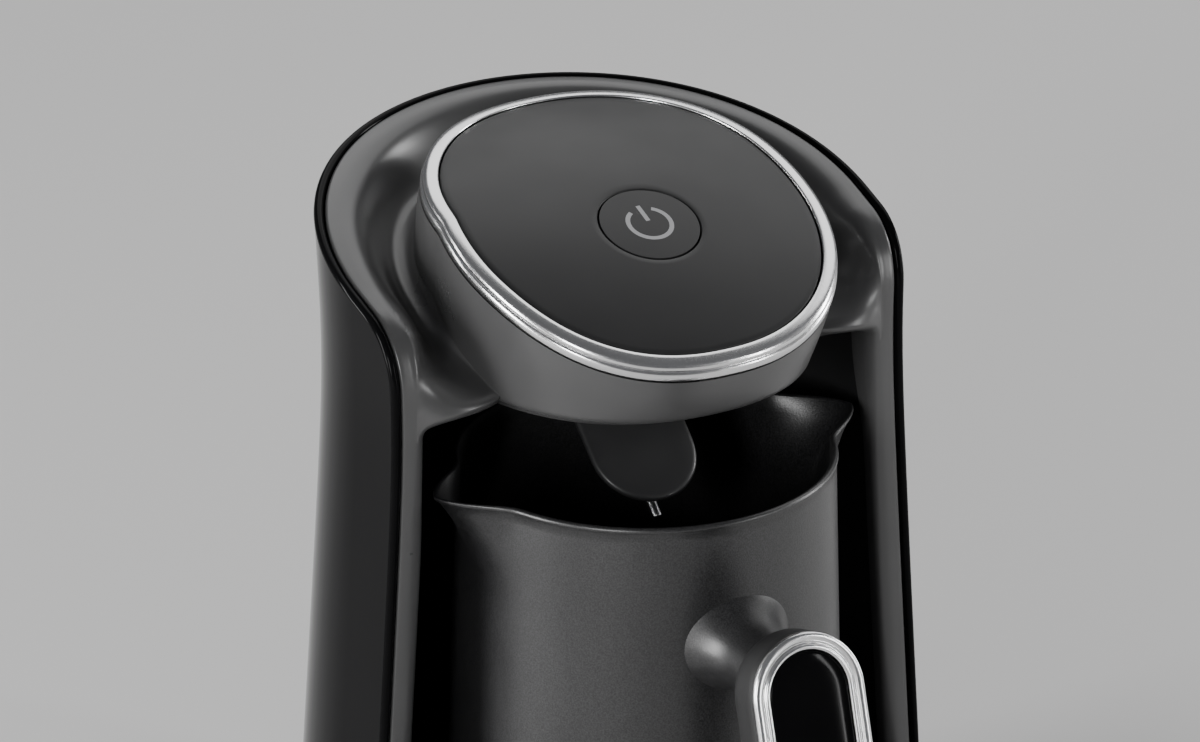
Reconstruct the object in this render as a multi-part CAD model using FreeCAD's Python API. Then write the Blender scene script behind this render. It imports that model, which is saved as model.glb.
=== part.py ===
"""Electric coffee maker for small pots: a tower with a domed head over a lift-out pot.

Millimetres, +Z up, -Y is the front. The modelling frame has the pot's axis at x = y = 0
and the table at z = 0; everything is shifted in Y at the end so that the origin is the
centre of the bounding box's bottom face.
"""
import FreeCAD
import Part
import math
import os

V = FreeCAD.Vector

# Tower: a horseshoe plan that is waisted below the rim and flares down to the table
WAIST_HALF = 68.6
WAIST_Z = 170.0
FLARE = 0.065
FLARE_BLEND = 20.0
TOWER_CENTRE_Y = 16.0
ARM_FRONT_Y = -3.5
TOWER_TOP_Z = 218.0
ARM_FACE = 6.0
BAY_TOP_Z = 171.0

# Rim of the tower: a shallow curve that falls from the back to the arms
RIM_Z = 192.7
RIM_SLOPE = 0.31
RIM_SAG = 0.0009
RIM_CORNER = 12.0
RIM_DROP = 17.0
OPENING_CORNER = 7.0

# Walls and clearances
OUTER_WALL = 2.4
SHELL_WALL = 2.4
LINER_WALL = 1.8
JOIN_GAP = 0.3
RUN_GAP = 0.4
SCREW_GAP = 0.05
SEAT_GAP = 0.02

# Reach of cutting volumes past the model
FAR = 300.0
OVERRUN = 12.0

# Head: an egg-shaped plate on a domed, tilted top
HEAD_Y = -2.0
HEAD_Z = 208.0
HEAD_TILT = 20.2
DOME_LENGTH_R = 159.0
DOME_WIDTH_R = 333.0
PLATE_HALF = 42.0
PLATE_BACK = 50.7
PLATE_FRONT = 45.8
PLATE_SHIFT = 6.0
PLATE_POWER = 2.25
PLATE_T = 2.5
RING_WIDTH = 4.0
RING_PROUD = 0.6
RING_H = 5.2
GROOVE_DEPTH = 0.5
GROOVE_LOW = 2.0
GROOVE_HIGH = 1.4
LEDGE = 2.2
VALLEY_FRONT_Z = 173.6
VALLEY_BACK_Z = 203.0
VALLEY_BEVEL = 6.0
VALLEY_FOOT = 13.0
COVER_T = 2.4
COVER_SCREW_X = 36.0
COVER_SCREW_SIDE_Y = 14.0
COVER_SCREW_FRONT_Y = -29.0

# Power button
BUTTON_R = 11.9
BUTTON_GAP = 0.35
BUTTON_TRAVEL = 0.8
CAP_T = 2.5
SKIRT_H = 4.6
SKIRT_WALL = 1.5
STEM_R = 2.8
STEM_END_W = -11.0
GUIDE_WALL = 1.5
GUIDE_FLOOR_W = -9.2
GUIDE_FLOOR_T = 1.4
SPRING_R = 5.2
SPRING_WIRE = 0.8
SPRING_TURNS = 4
SYMBOL_R = 5.2
SYMBOL_W = 1.1
SYMBOL_T = 0.5
SYMBOL_GAP_DEG = 62.0

# Control electronics in the head
SWITCH_SIZE = 6.2
SWITCH_H = 3.4
SWITCH_PLUNGER_R = 1.7
BOARD_T = 1.6
CONTROL_HALF = 22.0
CONTROL_LENGTH = 38.0
POST_R = 2.2
POST_INSET_X = 4.0
POST_INSET_Y = 5.0
LIGHT_R = 11.0
LIGHT_WALL = 2.0
BUZZER_R = 5.5
BUZZER_H = 4.5
BUZZER_HOLE_R = 1.0
BUZZER_INSET = 3.0
BUZZER_Y = 8.0

# Sensor flap and probe that reach into the pot's mouth
FLAP_WIDTH = 27.0
FLAP_T = 2.0
FLAP_TIP_Y = -9.2
FLAP_TIP_Z = 140.4
FLAP_ANGLE = 41.35
PROBE_R = 1.2
PROBE_DROP = 6.7
PROBE_TIP = 1.9
HOLDER_HALF = 15.0
HOLDER_FRONT_Y = 14.0
HOLDER_BACK_Y = 42.0
HOLDER_H = 7.0
HOLDER_CORNER = 3.0

# Base
BASE_FRONT = 61.0
BASE_TOP_Z = 50.0
DECK_T = 2.5
PLATE_BOTTOM_Z = 2.2
BASE_PLATE_T = 2.0
FOOT_R = 8.0
FOOT_SINK = 0.9
FOOT_EDGE = 0.6
FOOT_SPAN_X = 46.0
FOOT_FRONT_Y = -36.0
FOOT_BACK_Y = 62.0
BASE_SCREW_X = 56.0
BASE_SCREW_FRONT_Y = -22.0
BASE_SCREW_BACK_Y = 44.0
SCREW_R = 1.6
SCREW_HEAD_R = 3.0
SCREW_HEAD_H = 1.8
SCREW_L = 9.0
BOSS_WALL = 2.6

# Heater
HEATER_R = 41.0
HEATER_T = 6.0
HEATER_PROUD = 4.0
HEATER_EDGE = 1.0
ELEMENT_R = 29.0
ELEMENT_W = 7.0
ELEMENT_H = 5.5
THERMOSTAT_R = 9.0
THERMOSTAT_H = 7.0
TAB_T = 2.0
ELEMENT_TAB_W = 6.0
ELEMENT_TAB_L = 7.0
ELEMENT_TAB_X = 7.0
SWITCH_TAB_W = 4.0
SWITCH_TAB_T = 1.2
SWITCH_TAB_L = 6.0
SWITCH_TAB_X = 5.0
BRACKET_R = 37.5
BRACKET_W = 5.0
BRACKET_T = 3.0
LEG_R = 3.2
LEG_COUNT = 3

# Power electronics in the column behind the bay
MAIN_BOARD_HALF = 29.0
MAIN_BOARD_Z = (64.0, 148.0)
MAIN_BOARD_Y = 70.5
STANDOFF_R = 2.6
STANDOFF_INSET = 6.0
COMPONENT_H = 5.0
RELAY = (-20.0, -4.0, -30.0, -14.0)
TRANSFORMER = (2.0, 20.0, -28.0, -8.0)
TERMINALS = (-12.0, 12.0, 18.0, 26.0)
CAPACITOR_R = 3.4
CAPACITOR_Z = 4.0
CAPACITOR_X = (-14.0, -5.0, 4.0, 13.0)
GLAND_Z = 24.0
GLAND_R = 6.0
GLAND_BORE = 3.4
GLAND_FLANGE_R = 8.2
GLAND_FLANGE_T = 2.0
GLAND_L = 14.0
LOOM_R = 2.4
LOOM_X = 34.0
LOOM_Y = 66.0
LOOM_RISE = 18.0

# Pot
POT_RIM_R = 45.5
POT_BASE_R = 47.2
POT_RIM_Z = 149.5
POT_WALL = 1.5
POT_FOOT = 4.0
SPOUT_REACH = 56.8
SPOUT_HALF = 15.0
SPOUT_DEPTH = 24.0
SPOUT_TIP_R = 3.2

# Handle
HANDLE_W = 29.0
HANDLE_L = 76.0
HANDLE_T = 13.0
HANDLE_TOP_Y = -73.4
HANDLE_TOP_Z = 132.0
HANDLE_LEAN = 17.0
TRIM_W = 4.3
TRIM_T = 2.0
TRIM_PROUD = 0.5
GRIP_EDGE = 4.0
INSERT_SINK = 0.3
NECK_Z = 118.0
NECK_ROOT = (14.0, 11.0)
NECK_MID = (9.2, 8.0)
NECK_END = (9.8, 9.0)
NECK_MID_Y = -54.0
NECK_SEAT = 1.0
HANDLE_SCREW_R = 2.0
HANDLE_SCREW_L = 16.0

# Seats worked out from the sizes above
HEATER_TOP_Z = BASE_TOP_Z + HEATER_PROUD
HEATER_LOW_Z = HEATER_TOP_Z - HEATER_T
POT_LOW_Z = HEATER_TOP_Z + JOIN_GAP
HOUSING_LOW_Z = PLATE_BOTTOM_Z + BASE_PLATE_T
SHELL_INSET = OUTER_WALL + JOIN_GAP
BAY_INSET = SHELL_INSET + ARM_FACE
RING_BASE_W = -RING_H
SWITCH_TOP_W = STEM_END_W - BUTTON_TRAVEL - 0.1
CONTROL_TOP_W = SWITCH_TOP_W - SWITCH_H


def half_width(z):
    """Half width of the tower at a height."""
    return WAIST_HALF + FLARE * (math.hypot(z - WAIST_Z, FLARE_BLEND) - FLARE_BLEND)


def horseshoe(z, half, centre_y, front_y):
    """Round back and straight sides, closed by a straight front."""
    left_front = V(-half, front_y, z)
    left = V(-half, centre_y, z)
    right = V(half, centre_y, z)
    right_front = V(half, front_y, z)
    back = Part.Arc(left, V(0, centre_y + half, z), right).toShape()
    return Part.Wire([
        Part.makeLine(left_front, left),
        back,
        Part.makeLine(right, right_front),
        Part.makeLine(right_front, left_front),
    ])


def steps(low, high, count=6):
    """Evenly spaced heights from low to high."""
    return [low + (high - low) * i / (count - 1) for i in range(count)]


def tower(inset, low, high, centre_y=TOWER_CENTRE_Y, front_y=ARM_FRONT_Y):
    """Solid horseshoe tower between two heights, inset from the outside."""
    wires = [horseshoe(z, half_width(z) - inset, centre_y, front_y)
             for z in steps(-OVERRUN, TOWER_TOP_Z + OVERRUN, 7)]
    return Part.makeLoft(wires, True).common(block(-FAR, FAR, -FAR, FAR, low, high))


def hopper(inset, low, high, flare_in):
    """Horseshoe volume open to the front that narrows by flare_in towards its foot."""
    wires = []
    for z in steps(low, high, 4):
        extra = flare_in * (high - z) / (high - low)
        wires.append(horseshoe(z, half_width(z) - inset - extra, TOWER_CENTRE_Y,
                               ARM_FRONT_Y - BASE_FRONT))
    return Part.makeLoft(wires, True)


def footprint(z, half, front):
    """Base plan: the tower's back with a half-elliptical front."""
    left_front = V(-half, ARM_FRONT_Y, z)
    left = V(-half, TOWER_CENTRE_Y, z)
    right = V(half, TOWER_CENTRE_Y, z)
    right_front = V(half, ARM_FRONT_Y, z)
    back = Part.Arc(left, V(0, TOWER_CENTRE_Y + half, z), right).toShape()
    curve = Part.Ellipse(V(0, ARM_FRONT_Y, z), max(half, front), min(half, front))
    nose = Part.Arc(curve, math.pi, 2 * math.pi).toShape()
    return Part.Wire([
        Part.makeLine(left_front, left),
        back,
        Part.makeLine(right, right_front),
        nose,
    ])


def foot_solid(inset, low, high):
    """Base volume between two heights, inset from the outside."""
    wires = [footprint(z, half_width(z) - inset, BASE_FRONT - inset)
             for z in steps(-OVERRUN, BASE_TOP_Z + OVERRUN, 4)]
    return Part.makeLoft(wires, True).common(block(-FAR, FAR, -FAR, FAR, low, high))


def block(x0, x1, y0, y1, z0, z1):
    """Box given by its six faces."""
    return Part.makeBox(x1 - x0, y1 - y0, z1 - z0, V(x0, y0, z0))


def disc(radius, low, high, x=0.0, y=0.0):
    """Upright cylinder between two heights."""
    return Part.makeCylinder(radius, high - low, V(x, y, low))


def tube(outer, inner, low, high, x=0.0, y=0.0):
    """Upright ring between two heights."""
    return disc(outer, low, high, x, y).cut(disc(inner, low - 1, high + 1, x, y))


def join(shapes):
    """One shape from several that touch or overlap."""
    result = shapes[0]
    for shape in shapes[1:]:
        result = result.fuse(shape)
    return result.removeSplitter()


def rim_height(y):
    """Height of the tower's rim along its length."""
    return RIM_Z + RIM_SLOPE * y - RIM_SAG * y * y


def above_curve(points, end):
    """Everything above a curve that runs front to back, full width, with a straight lead-in."""
    curve = Part.BSplineCurve()
    curve.interpolate([V(0, y, z) for y, z in points])
    lead = V(0, end[0], end[1])
    first = V(0, points[0][0], points[0][1])
    last = V(0, points[-1][0], points[-1][1])
    high = 2 * TOWER_TOP_Z
    face = Part.Face(Part.Wire([
        Part.makeLine(lead, first),
        curve.toShape(),
        Part.makeLine(last, V(0, last.y, high)),
        Part.makeLine(V(0, last.y, high), V(0, end[0], high)),
        Part.makeLine(V(0, end[0], high), lead),
    ]))
    reach = 4 * WAIST_HALF
    solid = face.extrude(V(reach, 0, 0))
    solid.translate(V(-reach / 2, 0, 0))
    return solid


def above_rim(drop=0.0):
    """Space above the rim, with the rounded corner that leads into the arms' front edges."""
    turn_y = ARM_FRONT_Y + RIM_CORNER
    back_y = TOWER_CENTRE_Y + half_width(TOWER_TOP_Z) + RIM_CORNER
    low_z = rim_height(turn_y) - RIM_DROP - drop
    corner = (ARM_FRONT_Y + 0.28 * RIM_CORNER, rim_height(turn_y) - 0.42 * RIM_DROP - drop)
    run = [(y, rim_height(y) - drop) for y in steps(turn_y, back_y, 5)]
    return above_curve([(ARM_FRONT_Y, low_z), corner] + run, (ARM_FRONT_Y - RIM_CORNER, low_z))


def above_valley(drop=0.0):
    """Space above the valley floors beside the head."""
    back_y = TOWER_CENTRE_Y + half_width(TOWER_TOP_Z)
    mid_y = (ARM_FRONT_Y + back_y) / 2
    mid_z = 0.42 * VALLEY_FRONT_Z + 0.58 * VALLEY_BACK_Z
    points = [
        (ARM_FRONT_Y, VALLEY_FRONT_Z - drop),
        (mid_y, mid_z - drop),
        (back_y, VALLEY_BACK_Z - drop),
    ]
    return above_curve(points, (ARM_FRONT_Y - BASE_FRONT, VALLEY_FRONT_Z - drop))


def head_place(shape):
    """Put a shape from the head's own frame, with its origin at the button, on the tower."""
    placed = shape.copy()
    placed.rotate(V(0, 0, 0), V(1, 0, 0), HEAD_TILT)
    placed.translate(V(0, HEAD_Y, HEAD_Z))
    return placed


def egg(offset, w):
    """Closed egg outline about the button: wider and longer to the back."""
    points = []
    count = 36
    for i in range(count):
        angle = 2 * math.pi * i / count
        c, s = math.cos(angle), math.sin(angle)
        length = (PLATE_BACK if s > 0 else PLATE_FRONT) + offset
        x = (PLATE_HALF + offset) * math.copysign(abs(c) ** (2 / PLATE_POWER), c)
        y = PLATE_SHIFT + length * math.copysign(abs(s) ** (2 / PLATE_POWER), s)
        points.append(V(x, y, w))
    curve = Part.BSplineCurve()
    curve.interpolate(points, PeriodicFlag=True)
    return Part.Wire([curve.toShape()])


def egg_solid(offset, low, high):
    """Egg outline pulled along the head's own axis."""
    return Part.Face(egg(offset, low)).extrude(V(0, 0, high - low))


def dome(lift):
    """Barrel whose top is the head's domed surface, raised by lift above the button."""
    reach = 2 * PLATE_HALF
    sag = DOME_WIDTH_R - math.sqrt(DOME_WIDTH_R ** 2 - reach ** 2)
    left, right = V(-reach, 0, lift - sag), V(reach, 0, lift - sag)
    axis_z = -DOME_LENGTH_R
    face = Part.Face(Part.Wire([
        Part.Arc(left, V(0, 0, lift), right).toShape(),
        Part.makeLine(right, V(reach, 0, axis_z)),
        Part.makeLine(V(reach, 0, axis_z), V(-reach, 0, axis_z)),
        Part.makeLine(V(-reach, 0, axis_z), left),
    ]))
    return face.revolve(V(0, 0, axis_z), V(1, 0, 0), 360)


def under_dome(shape, lift):
    """The part of a head-frame shape that lies under the domed surface."""
    return shape.common(dome(lift))


def outer_shell():
    """Glossy wrap of the tower: round back and straight sides, open to the front."""
    body = tower(0, HOUSING_LOW_Z + JOIN_GAP, TOWER_TOP_Z)
    hollow = tower(OUTER_WALL, 0, TOWER_TOP_Z + 1, front_y=ARM_FRONT_Y - BASE_FRONT)
    back_y = TOWER_CENTRE_Y + half_width(GLAND_Z)
    hole = Part.makeCylinder(GLAND_R + RUN_GAP / 2, 20, V(0, back_y - 10, GLAND_Z), V(0, 1, 0))
    return body.cut(hollow).cut(above_rim()).cut(hole)


def head_block(offset, lift):
    """Head volume below the ring, down to the bay's ceiling."""
    high = egg_solid(offset, -4 * RING_H - HEAD_Z / 2, 2 * RING_H)
    placed = head_place(under_dome(high, lift))
    reach = 4 * WAIST_HALF
    return placed.common(block(-reach, reach, -reach, reach, BAY_TOP_Z, 2 * HEAD_Z))


def screw_spots():
    """Places of the screws that hold the head's underside cover."""
    return [(-COVER_SCREW_X, COVER_SCREW_SIDE_Y), (COVER_SCREW_X, COVER_SCREW_SIDE_Y),
            (0.0, COVER_SCREW_FRONT_Y)]


def front_shell():
    """Satin moulding: arms' front faces, rim bevel, valleys and the head's side wall."""
    cap = tower(SHELL_INSET, BAY_TOP_Z, TOWER_TOP_Z).cut(above_rim(JOIN_GAP))
    pocket = hopper(SHELL_INSET + VALLEY_BEVEL, BAY_TOP_Z - OVERRUN, TOWER_TOP_Z + OVERRUN,
                    VALLEY_FOOT)
    pocket = pocket.common(above_valley())
    under = tower(SHELL_INSET + SHELL_WALL, BAY_TOP_Z - 1, TOWER_TOP_Z)
    under = under.cut(above_rim(JOIN_GAP + SHELL_WALL))
    deep = hopper(SHELL_INSET + VALLEY_BEVEL - SHELL_WALL, BAY_TOP_Z - OVERRUN,
                  TOWER_TOP_Z + OVERRUN, VALLEY_FOOT)
    under = under.cut(deep.common(above_valley(SHELL_WALL)))
    front = block(-2 * WAIST_HALF, 2 * WAIST_HALF, -BASE_FRONT, ARM_FRONT_Y + SHELL_WALL,
                  0, 2 * HEAD_Z)
    skin = cap.cut(pocket).cut(under.cut(front))
    seat_lift = RING_BASE_W
    solid = skin.fuse(head_block(RING_WIDTH, seat_lift))
    hollow = head_block(RING_WIDTH - SHELL_WALL, seat_lift - SHELL_WALL)
    mouth = head_place(under_dome(egg_solid(-JOIN_GAP - SHELL_WALL, -40, RING_H), RING_H))
    solid = solid.cut(hollow).cut(mouth.common(head_block(0, RING_H)))
    inside = head_block(RING_WIDTH - SHELL_WALL / 2, seat_lift - SHELL_WALL / 2)
    for x, y in screw_spots():
        high = BAY_TOP_Z + COVER_T + SCREW_L
        side = SCREW_L * (x > 0) - SCREW_L * (x < 0)
        back = SCREW_L * (x == 0)
        rib = block(min(x, x + side) - 1, max(x, x + side) + 1, y - back - 1, y + 1,
                    BAY_TOP_Z + COVER_T, high)
        boss = disc(SCREW_R + BOSS_WALL, BAY_TOP_Z + COVER_T, high, x, y).fuse(rib)
        solid = solid.fuse(boss.cut(disc(SCREW_R + SCREW_GAP, 0, FAR, x, y)).common(inside))
    arms = tower(SHELL_INSET, BASE_TOP_Z, BAY_TOP_Z + SHELL_WALL).common(front)
    opening = tower(BAY_INSET, 0, TOWER_TOP_Z, front_y=-2 * BASE_FRONT)
    opening = opening.common(block(-FAR, FAR, -FAR, FAR, 0, BAY_TOP_Z)).cut(opening_corners())
    return join([solid, arms.cut(opening).cut(hollow)])


def opening_corners():
    """What stays of the arms' frame in the opening's two top corners, rounded below."""
    low = BAY_TOP_Z - OPENING_CORNER
    edge = half_width(BAY_TOP_Z) - BAY_INSET
    centre = edge - OPENING_CORNER
    corner = block(centre, edge + 1, -BASE_FRONT, BASE_FRONT, low, BAY_TOP_Z + 1)
    arc = Part.makeCylinder(OPENING_CORNER, 2 * BASE_FRONT, V(centre, -BASE_FRONT, low), V(0, 1, 0))
    return Part.makeCompound(both_sides(corner.cut(arc)))


def bay(inset, low, high):
    """Pot bay: as wide as the arms allow, round behind the pot."""
    return tower(inset, low, high, centre_y=0.0, front_y=ARM_FRONT_Y + SHELL_WALL + JOIN_GAP)


def bay_liner():
    """Matt wall behind the pot and the ceiling around the head."""
    high = BAY_TOP_Z - JOIN_GAP
    wall = bay(BAY_INSET - LINER_WALL, BASE_TOP_Z, high)
    inside = tower(BAY_INSET, 0, TOWER_TOP_Z, centre_y=0.0, front_y=-BASE_FRONT)
    hollow = inside.common(block(-FAR, FAR, -FAR, FAR, 0, high - LINER_WALL))
    return wall.cut(hollow).cut(below_head().common(inside))


def below_head():
    """Short column under the head, where its underside shows through the ceiling."""
    head = head_block(RING_WIDTH + JOIN_GAP, 0)
    underside = min(head.Faces, key=lambda face: face.CenterOfMass.z)
    return underside.extrude(V(0, 0, -3 * LINER_WALL))


def head_underside_cover():
    """Flat cover that closes the head from below."""
    plate = head_block(RING_WIDTH - SHELL_WALL - JOIN_GAP, 0)
    plate = plate.common(block(-FAR, FAR, -FAR, FAR, BAY_TOP_Z, BAY_TOP_Z + COVER_T - 0.05))
    for x, y in screw_spots():
        plate = plate.cut(disc(SCREW_R + RUN_GAP / 2, 0, HEAD_Z, x, y))
        plate = plate.cut(disc(SCREW_HEAD_R + RUN_GAP / 2, 0, BAY_TOP_Z + SCREW_HEAD_H / 2, x, y))
    return plate


def screws(spots, low, length):
    """Group of pan-head screws that point up."""
    solids = []
    for x, y in spots:
        head = disc(SCREW_HEAD_R, low, low + SCREW_HEAD_H / 2, x, y)
        shank = disc(SCREW_R, low, low + length, x, y)
        slot = block(x - SCREW_HEAD_R, x + SCREW_HEAD_R, y - 0.4, y + 0.4, low - 1, low + 0.5)
        solids.append(head.fuse(shank).cut(slot).removeSplitter())
    return Part.makeCompound(solids)


def head_screws():
    """Screws of the head's underside cover."""
    return screws(screw_spots(), BAY_TOP_Z, SCREW_L)


def top_plate():
    """Glossy domed plate with the button's hole."""
    body = egg_solid(-JOIN_GAP, -30, RING_H)
    plate = under_dome(body, 0).cut(dome(-PLATE_T))
    return head_place(plate.cut(disc(BUTTON_R + BUTTON_GAP, -20, 20)))


def chrome_ring():
    """Polished band around the plate, proud of it, with a fine groove round its side."""
    band = under_dome(egg_solid(RING_WIDTH, -30, RING_H), RING_PROUD)
    ledge = under_dome(egg_solid(1, -30, RING_H), -PLATE_T - SEAT_GAP).cut(egg_solid(-LEDGE, -40, RING_H))
    band = band.cut(egg_solid(0, -40, 2 * RING_H)).fuse(ledge).cut(dome(RING_BASE_W + 0.05))
    core = egg_solid(RING_WIDTH - GROOVE_DEPTH, -40, 2 * RING_H)
    groove = egg_solid(RING_WIDTH + 2, -30, RING_H).cut(core)
    groove = groove.common(dome(-GROOVE_HIGH)).cut(dome(-GROOVE_LOW))
    return head_place(band.cut(groove))


def power_symbol_prism(low, high):
    """Broken ring and a short bar, the plain sign for power."""
    ring = tube(SYMBOL_R + SYMBOL_W / 2, SYMBOL_R - SYMBOL_W / 2, low, high)
    reach = 2 * SYMBOL_R
    spread = reach * math.tan(math.radians(SYMBOL_GAP_DEG / 2))
    wedge = Part.Face(Part.makePolygon([
        V(0, 0, low - 1), V(spread, reach, low - 1), V(-spread, reach, low - 1), V(0, 0, low - 1),
    ])).extrude(V(0, 0, high - low + 2))
    bar = block(-SYMBOL_W / 2, SYMBOL_W / 2, 0.15 * SYMBOL_R, SYMBOL_R + SYMBOL_W, low, high)
    return Part.makeCompound([ring.cut(wedge), bar])


def power_button():
    """Round cap with a guiding skirt and a stem."""
    cap = under_dome(disc(BUTTON_R, -20, 10), 0).cut(dome(-CAP_T))
    skirt = tube(BUTTON_R, BUTTON_R - SKIRT_WALL, -SKIRT_H, -CAP_T + 0.6)
    stem = disc(STEM_R, STEM_END_W, -CAP_T + 0.6)
    body = join([cap, skirt, stem])
    recess = power_symbol_prism(-10, 10).cut(dome(-SYMBOL_T))
    return head_place(body.cut(recess))


def power_symbol():
    """Pale inlay in the button, flush with its top."""
    return head_place(power_symbol_prism(-10, 10).common(dome(0)).cut(dome(-SYMBOL_T)))


def button_guide():
    """Cup under the plate that guides the button and carries its spring."""
    inner = BUTTON_R + BUTTON_GAP
    wall = tube(inner + GUIDE_WALL, inner, GUIDE_FLOOR_W - GUIDE_FLOOR_T, 5)
    floor = tube(inner + GUIDE_WALL, STEM_R + RUN_GAP, GUIDE_FLOOR_W - GUIDE_FLOOR_T, GUIDE_FLOOR_W)
    cup = join([wall, floor])
    return head_place(cup.common(dome(-PLATE_T - SEAT_GAP)))


def button_spring():
    """Coil spring between the guide's floor and the cap."""
    low = GUIDE_FLOOR_W + SPRING_WIRE / 2 + 0.1
    high = -CAP_T - SPRING_WIRE / 2 - 0.3
    pitch = (high - low) / SPRING_TURNS
    helix = Part.makeHelix(pitch, high - low, SPRING_R)
    section = Part.Wire([Part.makeCircle(SPRING_WIRE / 2, V(SPRING_R, 0, 0), V(0, 1, 0))])
    coil = Part.Wire(helix.Edges).makePipeShell([section], True, True)
    coil.translate(V(0, 0, low))
    return head_place(coil)


def tact_switch():
    """Small push switch under the stem."""
    half = SWITCH_SIZE / 2
    body = block(-half, half, -half, half, CONTROL_TOP_W, SWITCH_TOP_W - 1.0)
    plunger = disc(SWITCH_PLUNGER_R, SWITCH_TOP_W - 1.2, SWITCH_TOP_W)
    return head_place(join([body, plunger]))


def control_board():
    """Board that carries the switch, the indicator and the buzzer."""
    board = block(-CONTROL_HALF, CONTROL_HALF, -CONTROL_HALF, CONTROL_LENGTH - CONTROL_HALF,
                  CONTROL_TOP_W - BOARD_T, CONTROL_TOP_W)
    return head_place(board)


def board_posts():
    """Posts between the control board and the top plate."""
    posts = []
    for x in (-1, 1):
        for y in (-CONTROL_HALF + POST_INSET_Y, CONTROL_LENGTH - CONTROL_HALF - POST_INSET_Y):
            posts.append(disc(POST_R, CONTROL_TOP_W, RING_H, x * (CONTROL_HALF - POST_INSET_X), y))
    return head_place(Part.makeCompound(posts).common(dome(-PLATE_T - SEAT_GAP)))


def indicator_light():
    """Light pipe beside the switch that lights the button's sign."""
    high = GUIDE_FLOOR_W - GUIDE_FLOOR_T - JOIN_GAP
    return head_place(tube(LIGHT_R, LIGHT_R - LIGHT_WALL, CONTROL_TOP_W, high))


def buzzer():
    """Round sounder under the control board."""
    low = CONTROL_TOP_W - BOARD_T - BUZZER_H
    x = CONTROL_HALF - BUZZER_R - BUZZER_INSET
    body = tube(BUZZER_R, BUZZER_HOLE_R, low, CONTROL_TOP_W - BOARD_T, x, BUZZER_Y)
    return head_place(body)


def flap_place(shape):
    """Put a shape from the flap's frame, with its origin at the tip, under the head."""
    placed = shape.copy()
    placed.rotate(V(0, 0, 0), V(1, 0, 0), FLAP_ANGLE)
    placed.translate(V(0, FLAP_TIP_Y, FLAP_TIP_Z))
    return placed


def under_head(shape):
    """The part of a shape that hangs below the head's underside."""
    return shape.common(block(-FAR, FAR, -FAR, FAR, 0, BAY_TOP_Z))


def flap_solid(gap=0.0):
    """Round-ended strip that slants down into the pot's mouth."""
    radius = FLAP_WIDTH / 2 + gap
    tip = disc(radius, -FLAP_T - gap, gap, 0, FLAP_WIDTH / 2)
    strip = block(-radius, radius, FLAP_WIDTH / 2, 3 * FLAP_WIDTH, -FLAP_T - gap, gap)
    return under_head(flap_place(join([tip, strip])))


def probe_solid(gap=0.0):
    """Thin rod parallel to the flap, below it."""
    rod = Part.makeCylinder(PROBE_R + gap, 3 * FLAP_WIDTH, V(0, -PROBE_TIP, -PROBE_DROP), V(0, 1, 0))
    if gap == 0.0:
        rod = rod.makeFillet(0.5 * PROBE_R, [rod.Edges[2]])
    return under_head(flap_place(rod))


def probe_holder():
    """Block under the head that holds the flap and the probe."""
    body = block(-HOLDER_HALF, HOLDER_HALF, HOLDER_FRONT_Y, HOLDER_BACK_Y,
                 BAY_TOP_Z - HOLDER_H, BAY_TOP_Z)
    body = body.makeFillet(HOLDER_CORNER, [e for e in body.Edges if abs(e.tangentAt(0).z) > 0.9])
    body = body.cut(flap_solid(SEAT_GAP)).cut(probe_solid(SEAT_GAP))
    return max(body.Solids, key=lambda solid: solid.Volume)


def base_volume(inset, low, high):
    """Base under the pot: full width in front of the arms, inside the wrap behind them."""
    split = ARM_FRONT_Y - JOIN_GAP
    front = foot_solid(inset, low, high).common(block(-FAR, FAR, -FAR, split, low, high))
    rear = tower(SHELL_INSET + inset, low, high, front_y=split - 1)
    return front.fuse(rear).removeSplitter()


def base_screw_spots():
    """Places of the screws that hold the base plate."""
    return [(x * BASE_SCREW_X, y) for y in (BASE_SCREW_FRONT_Y, BASE_SCREW_BACK_Y) for x in (-1, 1)]


def base_housing():
    """Skirt and deck of the base with the heater's opening."""
    body = base_volume(0, HOUSING_LOW_Z, BASE_TOP_Z)
    hollow = base_volume(SHELL_WALL, HOUSING_LOW_Z - 1, BASE_TOP_Z - DECK_T)
    body = body.cut(hollow).cut(disc(HEATER_R + RUN_GAP, 0, 2 * BASE_TOP_Z))
    for x, y in base_screw_spots():
        boss = tube(SCREW_R + BOSS_WALL, SCREW_R + SCREW_GAP, HOUSING_LOW_Z, BASE_TOP_Z - DECK_T, x, y)
        body = body.fuse(boss)
    back_y = TOWER_CENTRE_Y + half_width(GLAND_Z)
    bore = Part.makeCylinder(GLAND_R + RUN_GAP / 2, 30, V(0, back_y - 25, GLAND_Z), V(0, 1, 0))
    loom_hole = disc(LOOM_R + RUN_GAP, 0, 2 * BASE_TOP_Z, LOOM_X, LOOM_Y)
    return body.cut(bore).cut(loom_hole).removeSplitter()


def foot_spots():
    """Places of the rubber feet."""
    return [(x * FOOT_SPAN_X, y) for y in (FOOT_FRONT_Y, FOOT_BACK_Y) for x in (-1, 1)]


def base_plate():
    """Flat bottom cover with seats for the feet and screw holes."""
    wire = footprint(0, half_width(0), BASE_FRONT)
    plate = Part.Face(wire).extrude(V(0, 0, BASE_PLATE_T))
    plate.translate(V(0, 0, PLATE_BOTTOM_Z))
    for x, y in foot_spots():
        plate = plate.cut(disc(FOOT_R + 0.05, 0, PLATE_BOTTOM_Z + FOOT_SINK, x, y))
    for x, y in base_screw_spots():
        plate = plate.cut(disc(SCREW_R + RUN_GAP / 2, 0, 10, x, y))
        plate = plate.cut(disc(SCREW_HEAD_R + RUN_GAP / 2, 0, PLATE_BOTTOM_Z + SCREW_HEAD_H / 2, x, y))
    return plate


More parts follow.
